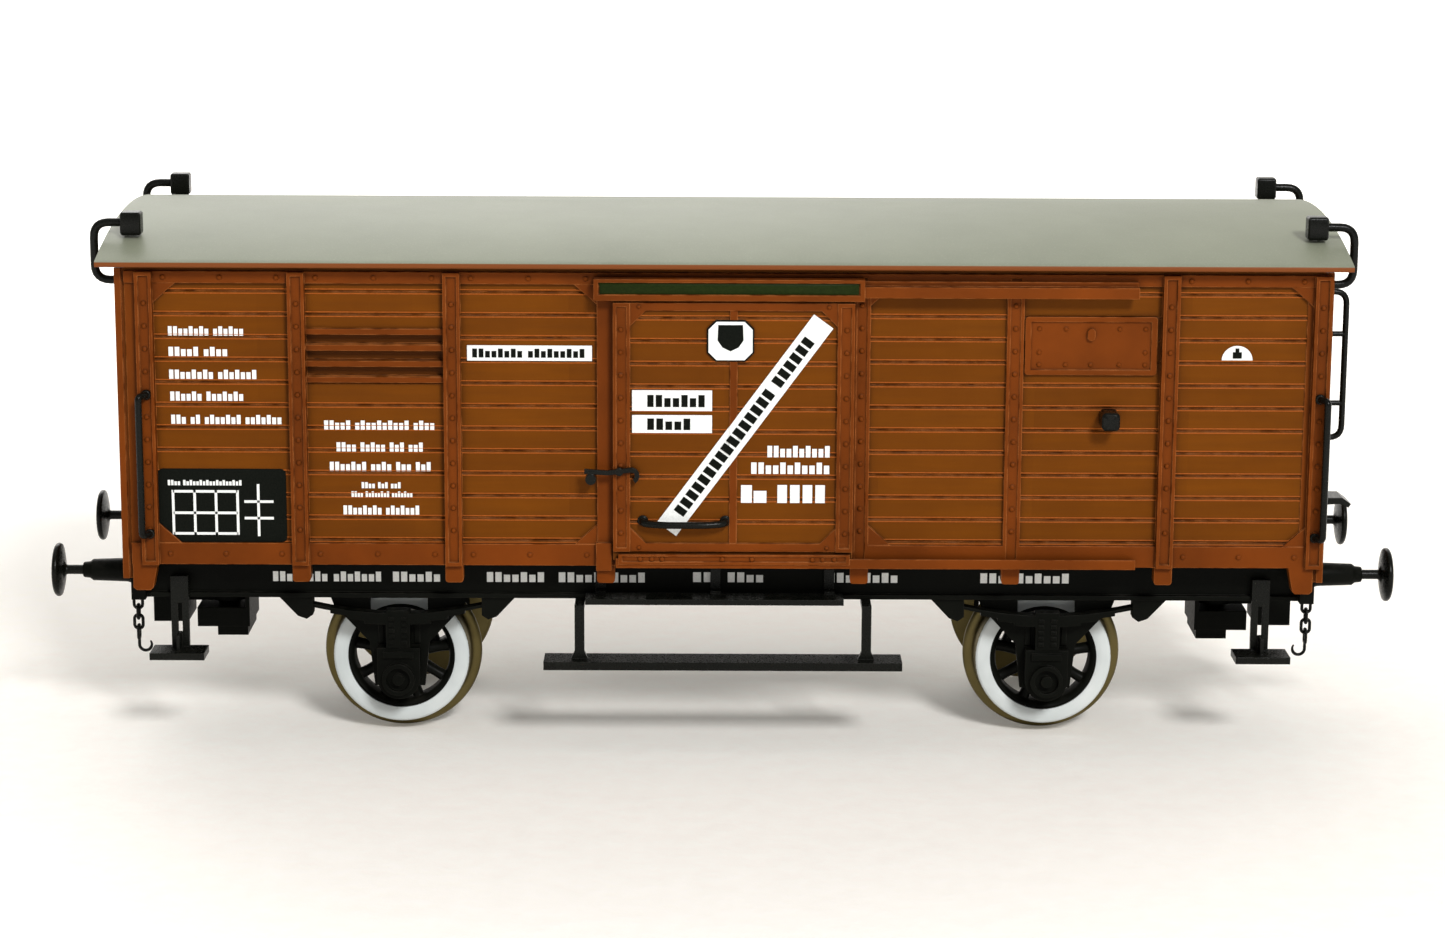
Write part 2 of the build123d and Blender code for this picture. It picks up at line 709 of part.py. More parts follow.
def buffer_spring(end, side):
    """The space of one buffer's coil spring, between the sleeve's floor and the plunger."""
    with BuildPart() as coil:
        with BuildSketch(buffer_plane(end, side)):
            with BuildLine():
                Polyline(
                    (SPRING_FLOOR, 0.25),
                    (SPRING_FLOOR, 0.5),
                    (SPRING_SEAT, 0.5),
                    (SPRING_SEAT, 0.25),
                    (SPRING_FLOOR, 0.25),
                )
            make_face()
        revolve(axis=buffer_axis(side))
    return coil.part


for corner, (end, side) in CORNERS.items():
    write(buffer_head(end, side), f"buffer_head_{corner}")
    write(buffer_spring(end, side), f"buffer_spring_{corner}")

# ---------------------------------------------------------------- draw hooks and coupler pockets
with BuildPart() as draw_hooks:
    for end in (-1, 1):
        with BuildSketch(Plane(origin=(0, 0, 0), x_dir=(end, 0, 0), z_dir=(0, -end, 0))):
            with BuildLine():
                Polyline(
                    (FRAME_END, 12.9),
                    (FRAME_END, 13.9),
                    (48.2, 13.9),
                    (48.7, 14.5),
                    (49.3, 14.3),
                    (49.1, 13.6),
                    (48.6, 12.9),
                    (FRAME_END, 12.9),
                )
            make_face()
        extrude(amount=0.3, both=True)
        block(end * FRAME_END, end * (FRAME_END + 0.25), -1.2, 1.2, 12.4, 14.4)
write(draw_hooks.part, "draw_hooks")

with BuildPart() as coupler_mounts:
    for end in (-1, 1):
        block(end * 38.9, end * 44.2, -3.2, 3.2, 10.3, BODY_BOTTOM)
        with BuildSketch(Plane.XY.offset(8.5)):
            with Locations((end * COUPLER_PIVOT, 0)):
                Circle(0.9)
        extrude(amount=1.9)
write(coupler_mounts.part, "coupler_mounts")

with BuildPart() as coupler_covers:
    for end in (-1, 1):
        block(end * 39.0, end * 43.3, -2.9, 2.9, 6.9, 8.5)
        block(end * 39.2, end * 41.7, -2.6, 2.6, 6.1, 6.9)
        block(end * 39.0, end * 39.35, -2.9, 2.9, 8.5, 10.3)
write(coupler_covers.part, "coupler_covers")


def coupler_pocket(end):
    """A swinging drawbar that ends in a rectangular pocket for a plug-in coupler head."""
    with BuildPart() as pocket:
        with BuildSketch(Plane.XY.offset(8.7)):
            with Locations((end * COUPLER_PIVOT, 0)):
                Circle(1.55)
            with Locations((end * (COUPLER_PIVOT + 1.9), 0)):
                Rectangle(3.8, 2.2)
            with Locations((end * COUPLER_PIVOT, 0)):
                Circle(0.95, mode=Mode.SUBTRACT)
        extrude(amount=1.3)
        block(end * POCKET_BACK, end * POCKET_FRONT, -2.2, 2.2, 7.15, 9.6)
        block(end * (POCKET_BACK + 0.3), end * (POCKET_FRONT + 1), -1.6, 1.6, 7.5, 9.2, mode=Mode.SUBTRACT)
    return pocket.part


write(coupler_pocket(-1), "coupler_pocket_left")
write(coupler_pocket(1), "coupler_pocket_right")

# ---------------------------------------------------------------- safety chains
CHAIN_X = 47.45
CHAIN_Y = 7.0
EYE_TOP = 11.6
WIRE = 0.26
LINK = 1.42
LINK_WIDE = 0.95
LINK_GAP = 0.05


def ring_link(x, y, top, turned):
    """A slotted ring hanging from height top, its opening along Y, or along X where turned."""
    normal, along = ((1, 0, 0), (0, 1, 0)) if turned else ((0, 1, 0), (1, 0, 0))
    with BuildSketch(Plane(origin=(x, y, top - LINK / 2), x_dir=along, z_dir=normal)) as ring:
        SlotOverall(LINK, LINK_WIDE, rotation=90)
        SlotOverall(LINK - 2 * WIRE, LINK_WIDE - 2 * WIRE, rotation=90, mode=Mode.SUBTRACT)
    extrude(ring.sketch, amount=WIRE / 2, both=True)


def next_top(top):
    """Where the next ring's top comes when it hangs in this one."""
    return top - LINK + 2 * WIRE + LINK_GAP


with BuildPart() as chain_eyes:
    for end, side in CORNERS.values():
        x, y = end * CHAIN_X, side * CHAIN_Y
        block(end * FRAME_END, end * (CHAIN_X + WIRE / 2), y - 0.35, y + 0.35, EYE_TOP - 0.15, EYE_TOP + 1.1)
        ring_link(x, y, EYE_TOP, True)
write(chain_eyes.part, "chain_eyes")


def safety_chain(end, side):
    """Three rings and a hook, hanging from a headstock eye."""
    x, y = end * CHAIN_X, side * CHAIN_Y
    with BuildPart() as chain:
        top = EYE_TOP
        for turned in (False, True, False):
            top = next_top(top)
            ring_link(x, y, top, turned)
        # the hook's eye is turned across the last ring, and its bill opens towards the wagon
        top = next_top(top)
        ring_link(x, y, top, True)
        stem_top, stem_low = top - LINK + WIRE, top - LINK - 0.35
        block(x - WIRE / 2, x + WIRE / 2, y - WIRE / 2, y + WIRE / 2, stem_low, stem_top)
        bill = 0.5
        with BuildSketch(Plane(origin=(x, y, stem_low), x_dir=(-end, 0, 0), z_dir=(0, end, 0))):
            with BuildLine():
                CenterArc((bill, 0), bill, 180, 215)
            trace(line_width=WIRE)
        extrude(amount=WIRE / 2, both=True)
    return chain.part


for corner, (end, side) in CORNERS.items():
    write(safety_chain(end, side), f"safety_chain_{corner}")

# ---------------------------------------------------------------- steps
STEP_X = 42.8
STEP_SHIFT = -0.2
STEP_Z = (7.5, 8.05)
LONG_STEP = (14.1, 7.05, 7.7)
HANGER_X = 11.3
UPPER_STEP = 10.15


def swept_rod(points, radius, bends):
    """A round rod along straight runs joined by bends."""
    with BuildLine() as path:
        FilletPolyline(*points, radius=bends)
    with BuildSketch(Plane(origin=path.line @ 0, z_dir=path.line % 0)) as section:
        Circle(radius)
    sweep(section.sketch, path=path.line)


with BuildPart() as corner_steps:
    for end, side in CORNERS.values():
        x = end * STEP_X + STEP_SHIFT
        block(x - 2.15, x + 2.15, side * 13.3, side * 16.0, STEP_Z[0], STEP_Z[1])
        block(x - 0.7, x + 0.7, side * SOLE_FLANGE, side * 13.8, STEP_Z[1] - 0.05, 13.8)
        block(x - 0.18, x + 0.18, side * (SOLE_FLANGE - 1), side * 14, 9.2, 11.6, mode=Mode.SUBTRACT)
        block(x - 0.12, x + 0.12, side * 13.7, side * 15.2, STEP_Z[1] - 0.05, 9.3)
write(corner_steps.part, "corner_steps")


def door_step(side):
    """The long board under a doorway, on two strap hangers bolted under the sole bar."""
    with BuildPart() as step:
        block(-LONG_STEP[0], LONG_STEP[0], side * 14.1, side * 16.9, LONG_STEP[1], LONG_STEP[2])
        for x in (-HANGER_X, HANGER_X):
            block(x - 0.38, x + 0.38, side * 15.3, side * 15.75, LONG_STEP[2] - 0.05, SOLE_BOTTOM)
            block(x - 0.38, x + 0.38, side * 12.5, side * 15.75, SOLE_BOTTOM - 0.4, SOLE_BOTTOM)
            with BuildSketch(wall_plane(side, 15.3)):
                u = -side * x
                with BuildLine():
                    Polyline(
                        (u - 0.65, LONG_STEP[2]),
                        (u + 0.65, LONG_STEP[2]),
                        (u + 0.38, LONG_STEP[2] + 0.6),
                        (u - 0.38, LONG_STEP[2] + 0.6),
                        (u - 0.65, LONG_STEP[2]),
                    )
                make_face()
            extrude(amount=0.45)
    return step.part


write(door_step(NEAR), "door_step_near")
write(door_step(FAR), "door_step_far")

with BuildPart() as upper_steps:
    for side in (NEAR, FAR):
        block(-UPPER_STEP - 0.68, UPPER_STEP - 0.68, side * 13.9, side * 16.1, 12.15, 12.6)
        for x in (-9.7, -0.6, 8.4):
            block(x - 0.4, x + 0.4, side * 12.9, side * 14.2, 12.4, 12.8)
            block(x - 0.4, x + 0.4, side * 12.9, side * 13.2, 12.6, 14.4)
write(upper_steps.part, "upper_steps")

# ---------------------------------------------------------------- handrails and lamp brackets
HANDLE_R = 0.27
HANDLE_Z = (17.9, 28.9)

with BuildPart() as corner_handles:
    for side in (NEAR, FAR):
        for rel in (POSTS[0], POSTS[-1]):
            x = side_x(side, rel)
            run = x + (0.45 if x > 0 else -0.45)  # the grip leans towards the wagon's end
            wall, out = side * (WALL_Y + POST_DEPTH - 0.2), side * (WALL_Y + POST_DEPTH + 0.85)
            low, high = HANDLE_Z
            knee = wall + side * 0.35
            corners = [(x, wall, low), (x, knee, low), (run, out, low)]
            corners += [(run, out, high), (x, knee, high), (x, wall, high)]
            swept_rod(corners, HANDLE_R, 0.6)
write(corner_handles.part, "corner_handles")

LAMP_Y = 12.6
LAMP_X = 49.05
LAMP_FOOT = 37.25
LAMP_TOP = 41.75

with BuildPart() as lamp_brackets:
    for end, side in CORNERS.values():
        y = side * LAMP_Y
        swept_rod(
            [
                (end * BODY_END, y, LAMP_FOOT),
                (end * LAMP_X, y, LAMP_FOOT),
                (end * LAMP_X, y, LAMP_TOP),
                (end * 46.9, y, LAMP_TOP),
            ],
            0.33,
            1.1,
        )
        block(end * 45.3, end * 46.9, y - 0.75, y + 0.75, LAMP_TOP - 0.95, LAMP_TOP + 0.85)
write(lamp_brackets.part, "lamp_brackets")

RAIL_X = 49.5
RAIL_Y = -8.0
RAIL_Z = (24.2, 36.0)

with BuildPart() as end_handrail:
    swept_rod(
        [
            (BODY_END, RAIL_Y, RAIL_Z[0]),
            (RAIL_X, RAIL_Y, RAIL_Z[0]),
            (RAIL_X, RAIL_Y, RAIL_Z[1]),
            (BODY_END, RAIL_Y, RAIL_Z[1]),
        ],
        0.25,
        0.9,
    )
    for z in (27.0, 32.6):
        with BuildSketch(Plane(origin=(BODY_END, RAIL_Y, z), x_dir=(0, 1, 0), z_dir=(1, 0, 0))):
            Circle(0.22)
        extrude(amount=RAIL_X - BODY_END)
write(end_handrail.part, "end_handrail")

with BuildPart() as end_step:
    with BuildSketch(Plane(origin=(0, RAIL_Y - 1.3, 0), x_dir=(1, 0, 0), z_dir=(0, -1, 0))):
        with BuildLine():
            Polyline(
                (BODY_END, 18.4),
                (BODY_END, 19.5),
                (49.6, 19.5),
                (50.3, 19.0),
                (50.1, 18.7),
                (49.4, 19.0),
                (47.6, 18.9),
                (47.4, 18.4),
                (BODY_END, 18.4),
            )
        make_face()
    extrude(amount=-2.6)
write(end_step.part, "end_step")


# ---------------------------------------------------------------- doors and their tracks
def track_pair(side):
    """The rails that hold a door: a hood over its top edge and a trough under its bottom edge."""
    with BuildPart() as track:
        hood_left, hood_right = sorted((side_x(side, HOOD[0]), side_x(side, HOOD[1])))
        run_left, run_right = sorted((side_x(side, TRACK_START), side_x(side, TRACK_END[0])))
        rail_left, rail_right = sorted((side_x(side, HOOD[0] + 0.2), side_x(side, TRACK_END[1])))
        sill_left, sill_right = sorted((side_x(side, TRACK_START + 0.2), side_x(side, -TRACK_START)))
        lip_in, lip_out = TRACK_LIP
        wall = WALL_Y + LOW_DEPTH
        # hood over the doorway, with a recessed panel along its face
        block(hood_left, hood_right, side * (wall + 0.15), side * lip_out, 37.1, 38.2)
        block(hood_left, hood_right, side * lip_in, side * lip_out, 36.55, 37.15)
        panel = sorted((hood_left + 0.35, hood_right - 0.35))
        block(panel[0], panel[1], side * (lip_out - 0.2), side * (lip_out + 0.1), 37.0, 37.95, mode=Mode.SUBTRACT)
        # top rail, which also runs on beyond the hood
        block(rail_left, rail_right, side * wall, side * (lip_out - 0.15), 37.1, 37.65)
        block(rail_left, rail_right, side * lip_in, side * (lip_out - 0.15), 36.8, 37.15)
        block(rail_left, rail_right, side * wall, side * (wall + 0.5), 37.6, 38.0)
        # trough along the bottom
        block(run_left, run_right, side * wall, side * (lip_out - 0.1), 15.5, 15.95)
        block(run_left, run_right, side * lip_in, side * (lip_out - 0.1), 15.9, 16.25)
        # deeper channel along the doorway's sill
        block(sill_left, sill_right, side * lip_in, side * lip_out, 15.9, 16.6)
        block(sill_left, sill_right, side * (lip_out - 0.2), side * lip_out, 15.8, 16.0)
        channel = sorted((sill_left + 0.3, sill_right - 0.3))
        block(channel[0], channel[1], side * (lip_out - 0.12), side * (lip_out + 0.1), 16.02, 16.44, mode=Mode.SUBTRACT)
    return track.part


def sliding_door(side):
    """A planked door leaf in a riveted channel frame, with a cover strip up its middle."""
    face = DOOR_BACK + DOOR_BOARD
    middle = BAY_SHIFT
    low, high = DOOR_TRIM_Z
    with BuildPart() as door:
        block(middle - DOOR_HALF, middle + DOOR_HALF, side * DOOR_BACK, side * face, DOOR_Z[0], DOOR_Z[1])
        with BuildSketch(Plane.YZ.offset(middle)):
            for height in plank_heights()[:-1]:
                with BuildLine():
                    groove(side * face, height)
                make_face()
        extrude(amount=DOOR_HALF + 1, both=True, mode=Mode.SUBTRACT)
        for rel in (-DOOR_HALF + 0.65, DOOR_HALF - 0.65):
            channel_post(side, middle + rel, low, high, DOOR_FRAME, back=face)
        for z0, z1 in ((low, low + 0.65), (high - 0.6, high)):
            block(middle - DOOR_HALF + 0.6, middle + DOOR_HALF - 0.6, side * (face - 0.1), side * (face + 0.22), z0, z1)
        block(middle - 0.28, middle + 0.28, side * (face - 0.25), side * (face + 0.14), low, high)
        inner = DOOR_HALF - 1.28
        for hand in (-1, 1):
            for z, up in ((low + 0.6, True), (high - 0.55, False)):
                gusset(side, middle + hand * inner, z, -side * -hand > 0, up, leg=1.3, depth=0.22, back=face)
    return door.part


def door_handle(side):
    """A bowed bar across the lower left of a door leaf."""
    face = DOOR_BACK + DOOR_BOARD
    left, right = side_x(side, -7.0), side_x(side, -0.6)
    third = (right - left) / 4
    z = 19.2
    with BuildPart() as handle:
        swept_rod(
            [
                (left, side * (face - 0.02), z),
                (left, side * (face + 0.75), z - 0.1),
                (left + third, side * (face + 1.05), z - 0.15),
                (right - third, side * (face + 1.05), z - 0.15),
                (right, side * (face + 0.75), z - 0.1),
                (right, side * (face - 0.02), z),
            ],
            0.27,
            [0.3, 0.8, 0.8, 0.3],
        )
        for x in (left, right):
            with BuildSketch(wall_plane(side, face)):
                with Locations((-side * x, z)):
                    Circle(0.42)
            extrude(amount=0.12)
    return handle.part


def door_latch(side):
    """A hasp on the door's stile that reaches over the post beside it."""
    face = DOOR_BACK + DOOR_BOARD + DOOR_FRAME
    z = 23.2
    with BuildPart() as latch:
        with BuildSketch(wall_plane(side, face)):
            # the sketch's X runs to a viewer's right on either side
            shift = -side * BAY_SHIFT - 0.12
            with BuildLine():
                Polyline((shift - 11.4, z), (shift - 9.6, z - 0.12), (shift - 7.9, z + 0.1))
                ThreePointArc((shift - 7.9, z + 0.1), (shift - 7.35, z - 0.15), (shift - 7.55, z - 0.75))
            trace(line_width=0.36)
        extrude(amount=0.3)
        with BuildSketch(wall_plane(side, face - 0.45)):
            with Locations((shift - 10.9, z - 0.6)):
                Circle(0.42)
        extrude(amount=0.95)
        with BuildSketch(wall_plane(side, face)):
            with Locations((shift - 10.9, z - 0.35)):
                Rectangle(0.5, 0.7)
            with Locations((shift - 8.7, z)):
                Circle(0.32)
        extrude(amount=0.45)
    return latch.part


for side, name in ((NEAR, "near"), (FAR, "far")):
    write(track_pair(side), f"door_track_{name}")
    write(sliding_door(side), f"door_{name}")
    write(door_handle(side), f"door_handle_{name}")
    write(door_latch(side), f"door_latch_{name}")

# ---------------------------------------------------------------- fittings on the sides
STOP_REL = 29.1
STOP_SIZE = 1.4

with BuildPart() as door_stops:
    for side in (NEAR, FAR):
        with BuildSketch(wall_plane(side, WALL_Y)):
            with Locations((-side * side_x(side, STOP_REL), 27.3)):
                RectangleRounded(STOP_SIZE, STOP_SIZE, 0.3)
        extrude(amount=2.1)
        outer = side * (WALL_Y + 2.1)
        rim = door_stops.edges().filter_by(lambda e: abs(e.center().Y - outer) < 0.01)
        fillet(rim, 0.2)
write(door_stops.part, "door_stops")

with BuildPart() as vent_hatches:
    for side in (NEAR, FAR):
        centre = -side * side_x(side, 27.6)
        with BuildSketch(wall_plane(side, WALL_Y)):
            with Locations((centre, 32.95)):
                RectangleRounded(10.2, 4.55, 0.25)
        extrude(amount=0.3)
        with BuildSketch(wall_plane(side, WALL_Y + 0.14)):
            with Locations((centre, 32.95)):
                Rectangle(9.3, 3.75)
        extrude(amount=0.5, mode=Mode.SUBTRACT)
        # the catch at the top, and rivets round the plate
        with BuildSketch(wall_plane(side, WALL_Y + 0.1)):
            with Locations((centre, 33.85)):
                SlotOverall(0.95, 0.6, rotation=90)
        extrude(amount=0.34)
write(vent_hatches.part, "vent_hatches")
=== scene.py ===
# %% [markdown]
# # A model box car
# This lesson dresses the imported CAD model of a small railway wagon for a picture. The CAD gives the walls, doors,
# frame and steps. Here we add what CAD leaves plain: paint, rivets, plank edges, round wire, chain and markings.
# Everything is in metres, with X along the wagon, Y across it and Z up, as in the CAD.

import bmesh
import bpy
import numpy as np
from mathutils import Matrix, Vector


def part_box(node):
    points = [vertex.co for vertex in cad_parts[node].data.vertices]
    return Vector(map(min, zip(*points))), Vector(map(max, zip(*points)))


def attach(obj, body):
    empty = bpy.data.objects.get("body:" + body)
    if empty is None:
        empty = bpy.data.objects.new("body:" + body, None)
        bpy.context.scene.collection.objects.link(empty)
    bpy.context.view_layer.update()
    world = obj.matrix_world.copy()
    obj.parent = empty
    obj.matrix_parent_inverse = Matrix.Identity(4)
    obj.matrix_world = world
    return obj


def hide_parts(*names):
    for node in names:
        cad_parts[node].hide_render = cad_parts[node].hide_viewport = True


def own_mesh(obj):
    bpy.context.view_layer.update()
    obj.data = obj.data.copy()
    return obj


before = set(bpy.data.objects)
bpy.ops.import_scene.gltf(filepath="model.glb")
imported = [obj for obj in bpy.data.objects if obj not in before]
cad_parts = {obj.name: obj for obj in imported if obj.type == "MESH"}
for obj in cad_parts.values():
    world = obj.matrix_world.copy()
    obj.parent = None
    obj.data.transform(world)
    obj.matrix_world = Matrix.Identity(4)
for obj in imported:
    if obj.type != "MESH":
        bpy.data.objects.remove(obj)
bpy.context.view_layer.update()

# %% [markdown]
# ## Sizes that the CAD and the looks share
# The wagon is a 1:87 model, so most sizes are tenths of a millimetre. `MM` turns millimetres into Blender's metres.
# The side framing sits 0.72 mm towards +X on both sides, which is why `along` adds `BAY_SHIFT`.

# %% Shared sizes
MM = 0.001
NEAR, FAR = -1, 1
BAY_SHIFT = 0.72
WALL_Y, WALL_X = 16.1, 46.2
HEADSTOCK_X = 46.7
FRAME_FACE = 12.9
POSTS = np.array([-45.4, -33.7, -21.75, -9.9, 9.9, 21.75, 33.7, 45.4])
SHALLOW_POSTS = (9.9, 21.75)
DOOR_JAMB = -9.9
PLANK_FIRST, PLANK_PITCH, PLANKS = 17.34, 1.782, 12
DOOR_FACE = 17.2
BAY_PITCH = 12.03  # the typical distance from post to post
AXLE_Z = 6.35
CORNERS = {"near_left": (-1, NEAR), "near_right": (1, NEAR), "far_left": (-1, FAR), "far_right": (1, FAR)}
AXLE_X = {"a": -4500 / 87 / 2, "b": 4500 / 87 / 2}
joint_heights = PLANK_FIRST + PLANK_PITCH * np.arange(PLANKS)


def along(side, rel):
    """X of a point that a viewer of that side sees rel millimetres to the right of the door's middle."""
    return BAY_SHIFT - side * rel


print("plank joints at", joint_heights.round(2))

# %% [markdown]
# ## Turning arrays into meshes
# Each new surface is a grid of points worked out at once with numpy. `grid_faces` numbers the four corners of every
# cell, and `piece` puts the arrays into a mesh, merges the doubled points at seams and poles, and turns all faces
# outwards. The object stays at the origin, so patterns on Object coordinates line up from piece to piece.

# %% Mesh helpers


def grid_faces(rows, columns, wrap_rows=False, wrap_columns=False):
    """The corners of each cell: point (i, j), its neighbour in j, the opposite point, and its neighbour in i."""
    i = np.arange(rows if wrap_rows else rows - 1)
    j = np.arange(columns if wrap_columns else columns - 1)
    i, j = np.meshgrid(i, j, indexing="ij")
    next_i, next_j = (i + 1) % rows, (j + 1) % columns
    corners = [i * columns + j, i * columns + next_j, next_i * columns + next_j, next_i * columns + j]
    return np.stack(corners, -1).reshape(-1, 4)


def surface(points, wrap_rows=False, wrap_columns=False):
    """A part made of one grid of points, given in millimetres, as (points, faces)."""
    rows, columns = points.shape[:2]
    return points.reshape(-1, 3), grid_faces(rows, columns, wrap_rows, wrap_columns)


def repeated(template, shifts):
    """Copies of a small part at many places: every shift added to every point of the template."""
    points, faces = template
    count = len(points)
    moved = (shifts[:, None, :] + points[None, :, :]).reshape(-1, 3)
    numbered = (faces[None, :, :] + (np.arange(len(shifts)) * count)[:, None, None]).reshape(-1, 4)
    return moved, numbered


def joined(parts):
    """Several parts as one: their points in a row, and each part's faces numbered from where its points start."""
    starts = np.cumsum([0] + [len(points) for points, _ in parts[:-1]])
    points = np.concatenate([points for points, _ in parts])
    faces = np.concatenate([faces + start for (_, faces), start in zip(parts, starts)])
    return points, faces


def piece(name, parts, body, material, replaces=(), smooth=True, sharp=40.0):
    """Makes the object, closes its seams, turns its faces outwards, and ties it to a body and a finish."""
    points, faces = joined(parts)
    mesh = bpy.data.meshes.new(name)
    mesh.from_pydata((points * MM).tolist(), [], faces.tolist())
    work = bmesh.new()
    work.from_mesh(mesh)
    bmesh.ops.remove_doubles(work, verts=work.verts, dist=1e-7)
    bmesh.ops.dissolve_degenerate(work, edges=work.edges, dist=1e-8)
    bmesh.ops.recalc_face_normals(work, faces=work.faces)
    work.to_mesh(mesh)
    work.free()
    if smooth:
        mesh.shade_smooth()
        mesh.set_sharp_from_angle(angle=np.radians(sharp))
    made = bpy.data.objects.new(name, mesh)
    bpy.context.scene.collection.objects.link(made)
    mesh.materials.append(material)
    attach(made, body)
    if replaces:
        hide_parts(*replaces)
    return made


# %% [markdown]
# ## Four kinds of shape
# Nearly every small part of a wagon is turned on a lathe, bent from wire, cut from a bar, or riveted. So four
# helpers cover them: `turned` spins a profile, `wire` carries a circle along a path, `bar` carries an outline a
# straight way with its ends chamfered, and `domes` strews rivet heads.

# %% Turned, wire, bar and dome shapes


def turned(profile, origin, axis, around=64, closed=False):
    """Each profile point (a, r) goes to origin + a * axis + r * (cos t * side + sin t * up), for t once round."""
    profile, axis = np.array(profile, float), np.array(axis, float)
    up = np.array([0.0, 0.0, 1.0])
    side = np.cross(up, axis)
    turn = np.linspace(0, 2 * np.pi, around, endpoint=False)
    ring = np.cos(turn)[:, None] * side + np.sin(turn)[:, None] * up
    outwards = profile[:, 1, None, None] * ring[None]
    points = np.array(origin, float) + profile[:, 0, None, None] * axis + outwards
    return surface(points, wrap_rows=closed, wrap_columns=True)


def rounded_path(corners, radius, steps=7):
    """The corners joined by straight runs. Each inner corner becomes a quadratic curve,
    (1 - t)^2 * start + 2 t (1 - t) * corner + t^2 * end, that starts and ends a radius away."""
    corners = np.array(corners, float)
    t = np.linspace(0, 1, steps)[:, None]
    runs = [corners[:1]]
    for before, corner, after in zip(corners[:-2], corners[1:-1], corners[2:]):
        start = corner + (before - corner) * min(0.5, radius / np.linalg.norm(before - corner))
        end = corner + (after - corner) * min(0.5, radius / np.linalg.norm(after - corner))
        runs.append((1 - t) ** 2 * start + 2 * t * (1 - t) * corner + t**2 * end)
    return np.concatenate(runs + [corners[-1:]])


def wire(path, radius, flat_normal, around=14, closed=False, taper=None):
    """At each path point a circle square to the path: radius * (cos t * across + sin t * flat)."""
    path, normal = np.array(path, float), np.array(flat_normal, float)
    if closed:
        ahead = np.roll(path, -1, axis=0) - np.roll(path, 1, axis=0)
    else:
        ahead = np.gradient(path, axis=0)
    ahead /= np.linalg.norm(ahead, axis=1, keepdims=True)
    flat = normal - (ahead @ normal)[:, None] * ahead  # the given normal, made square to the path
    flat /= np.linalg.norm(flat, axis=1, keepdims=True)
    across = np.cross(flat, ahead)
    radii = radius * (np.ones(len(path)) if taper is None else np.asarray(taper, float))
    if not closed:  # a last ring of no size closes each end, after a smaller ring that rounds it
        steps = np.array([[-0.35], [-0.2]]) * radius
        path = np.concatenate([path[:1] + steps * ahead[:1], path, path[-1:] - steps[::-1] * ahead[-1:]])
        radii = np.concatenate([[0, 0.75 * radii[0]], radii, [0.75 * radii[-1], 0]])
        across = np.concatenate([across[:1], across[:1], across, across[-1:], across[-1:]])
        flat = np.concatenate([flat[:1], flat[:1], flat, flat[-1:], flat[-1:]])
    turn = np.linspace(0, 2 * np.pi, around, endpoint=False)
    circle = np.cos(turn)[None, :, None] * across[:, None, :] + np.sin(turn)[None, :, None] * flat[:, None, :]
    return surface(path[:, None, :] + radii[:, None, None] * circle, wrap_rows=closed, wrap_columns=True)


def bar(outline, origin, u, v, length, chamfer=0.08):
    """An outline in the plane of u and v, carried along their cross product, its ends drawn in by the chamfer."""
    outline, u, v = np.array(outline, float), np.array(u, float), np.array(v, float)
    middle = outline.mean(0)
    size = np.abs(outline - middle).max(0)
    shrink = 1 - chamfer / size
    depths = np.array([0, 0, chamfer, length - chamfer, length, length])
    scales = np.stack([0 * size, shrink, 1 + 0 * size, 1 + 0 * size, shrink, 0 * size])
    flat = middle + (outline - middle)[None] * scales[:, None, :]
    face = np.array(origin, float) + flat[..., :1] * u + flat[..., 1:] * v
    points = face + depths[:, None, None] * np.cross(u, v)
    return surface(points, wrap_columns=True)


def rounded_rectangle(width, height, radius, steps=4):
    """Four quarter circles, one in each corner of the rectangle, joined in a loop."""
    turn = np.linspace(0, np.pi / 2, steps)[None, :] + (np.arange(4) * np.pi / 2)[:, None]
    centre = np.array([[1, 1], [-1, 1], [-1, -1], [1, -1]]) * (np.array([width, height]) / 2 - radius)
    return (centre[:, None, :] + radius * np.stack([np.cos(turn), np.sin(turn)], -1)).reshape(-1, 2)


def domes(centres, outward, radius=0.22, height=0.17, around=8):
    """Rivet heads: a ring at angle a from the top has radius r * sin a and height h * cos a.
    A closed base is sunk a little in the wall."""
    outward = np.array(outward, float)
    along_face = np.array([1.0, 0, 0]) if abs(outward[0]) < 0.5 else np.array([0, 1.0, 0])
    across_face = np.cross(outward, along_face)
    rise = np.radians([0, 32, 62, 90])
    radii = np.concatenate([np.sin(rise), [1, 0]]) * radius
    heights = np.concatenate([np.cos(rise) * height, [-0.03, -0.03]])
    turn = np.linspace(0, 2 * np.pi, around, endpoint=False)
    ring = np.cos(turn)[:, None] * along_face + np.sin(turn)[:, None] * across_face
    rings = radii[:, None, None] * ring[None] + heights[:, None, None] * outward
    return repeated(surface(rings, wrap_columns=True), np.asarray(centres, float))


def places(xs, y, zs):
    """Every x with every z, at one y."""
    x, z = np.meshgrid(xs, zs)
    return np.stack([x.ravel(), np.full(x.size, y), z.ravel()], -1)


print("a rivet head has", len(domes(np.zeros((1, 3)), (0, 1, 0))[1]), "faces")

# %% [markdown]
# ## The camera
# A long lens a quarter of a metre away, a little above the wagon and looking down at it by about twelve degrees.
# The camera's own axes are worked out from its turn, its tilt and a tiny roll, and put in as a matrix.

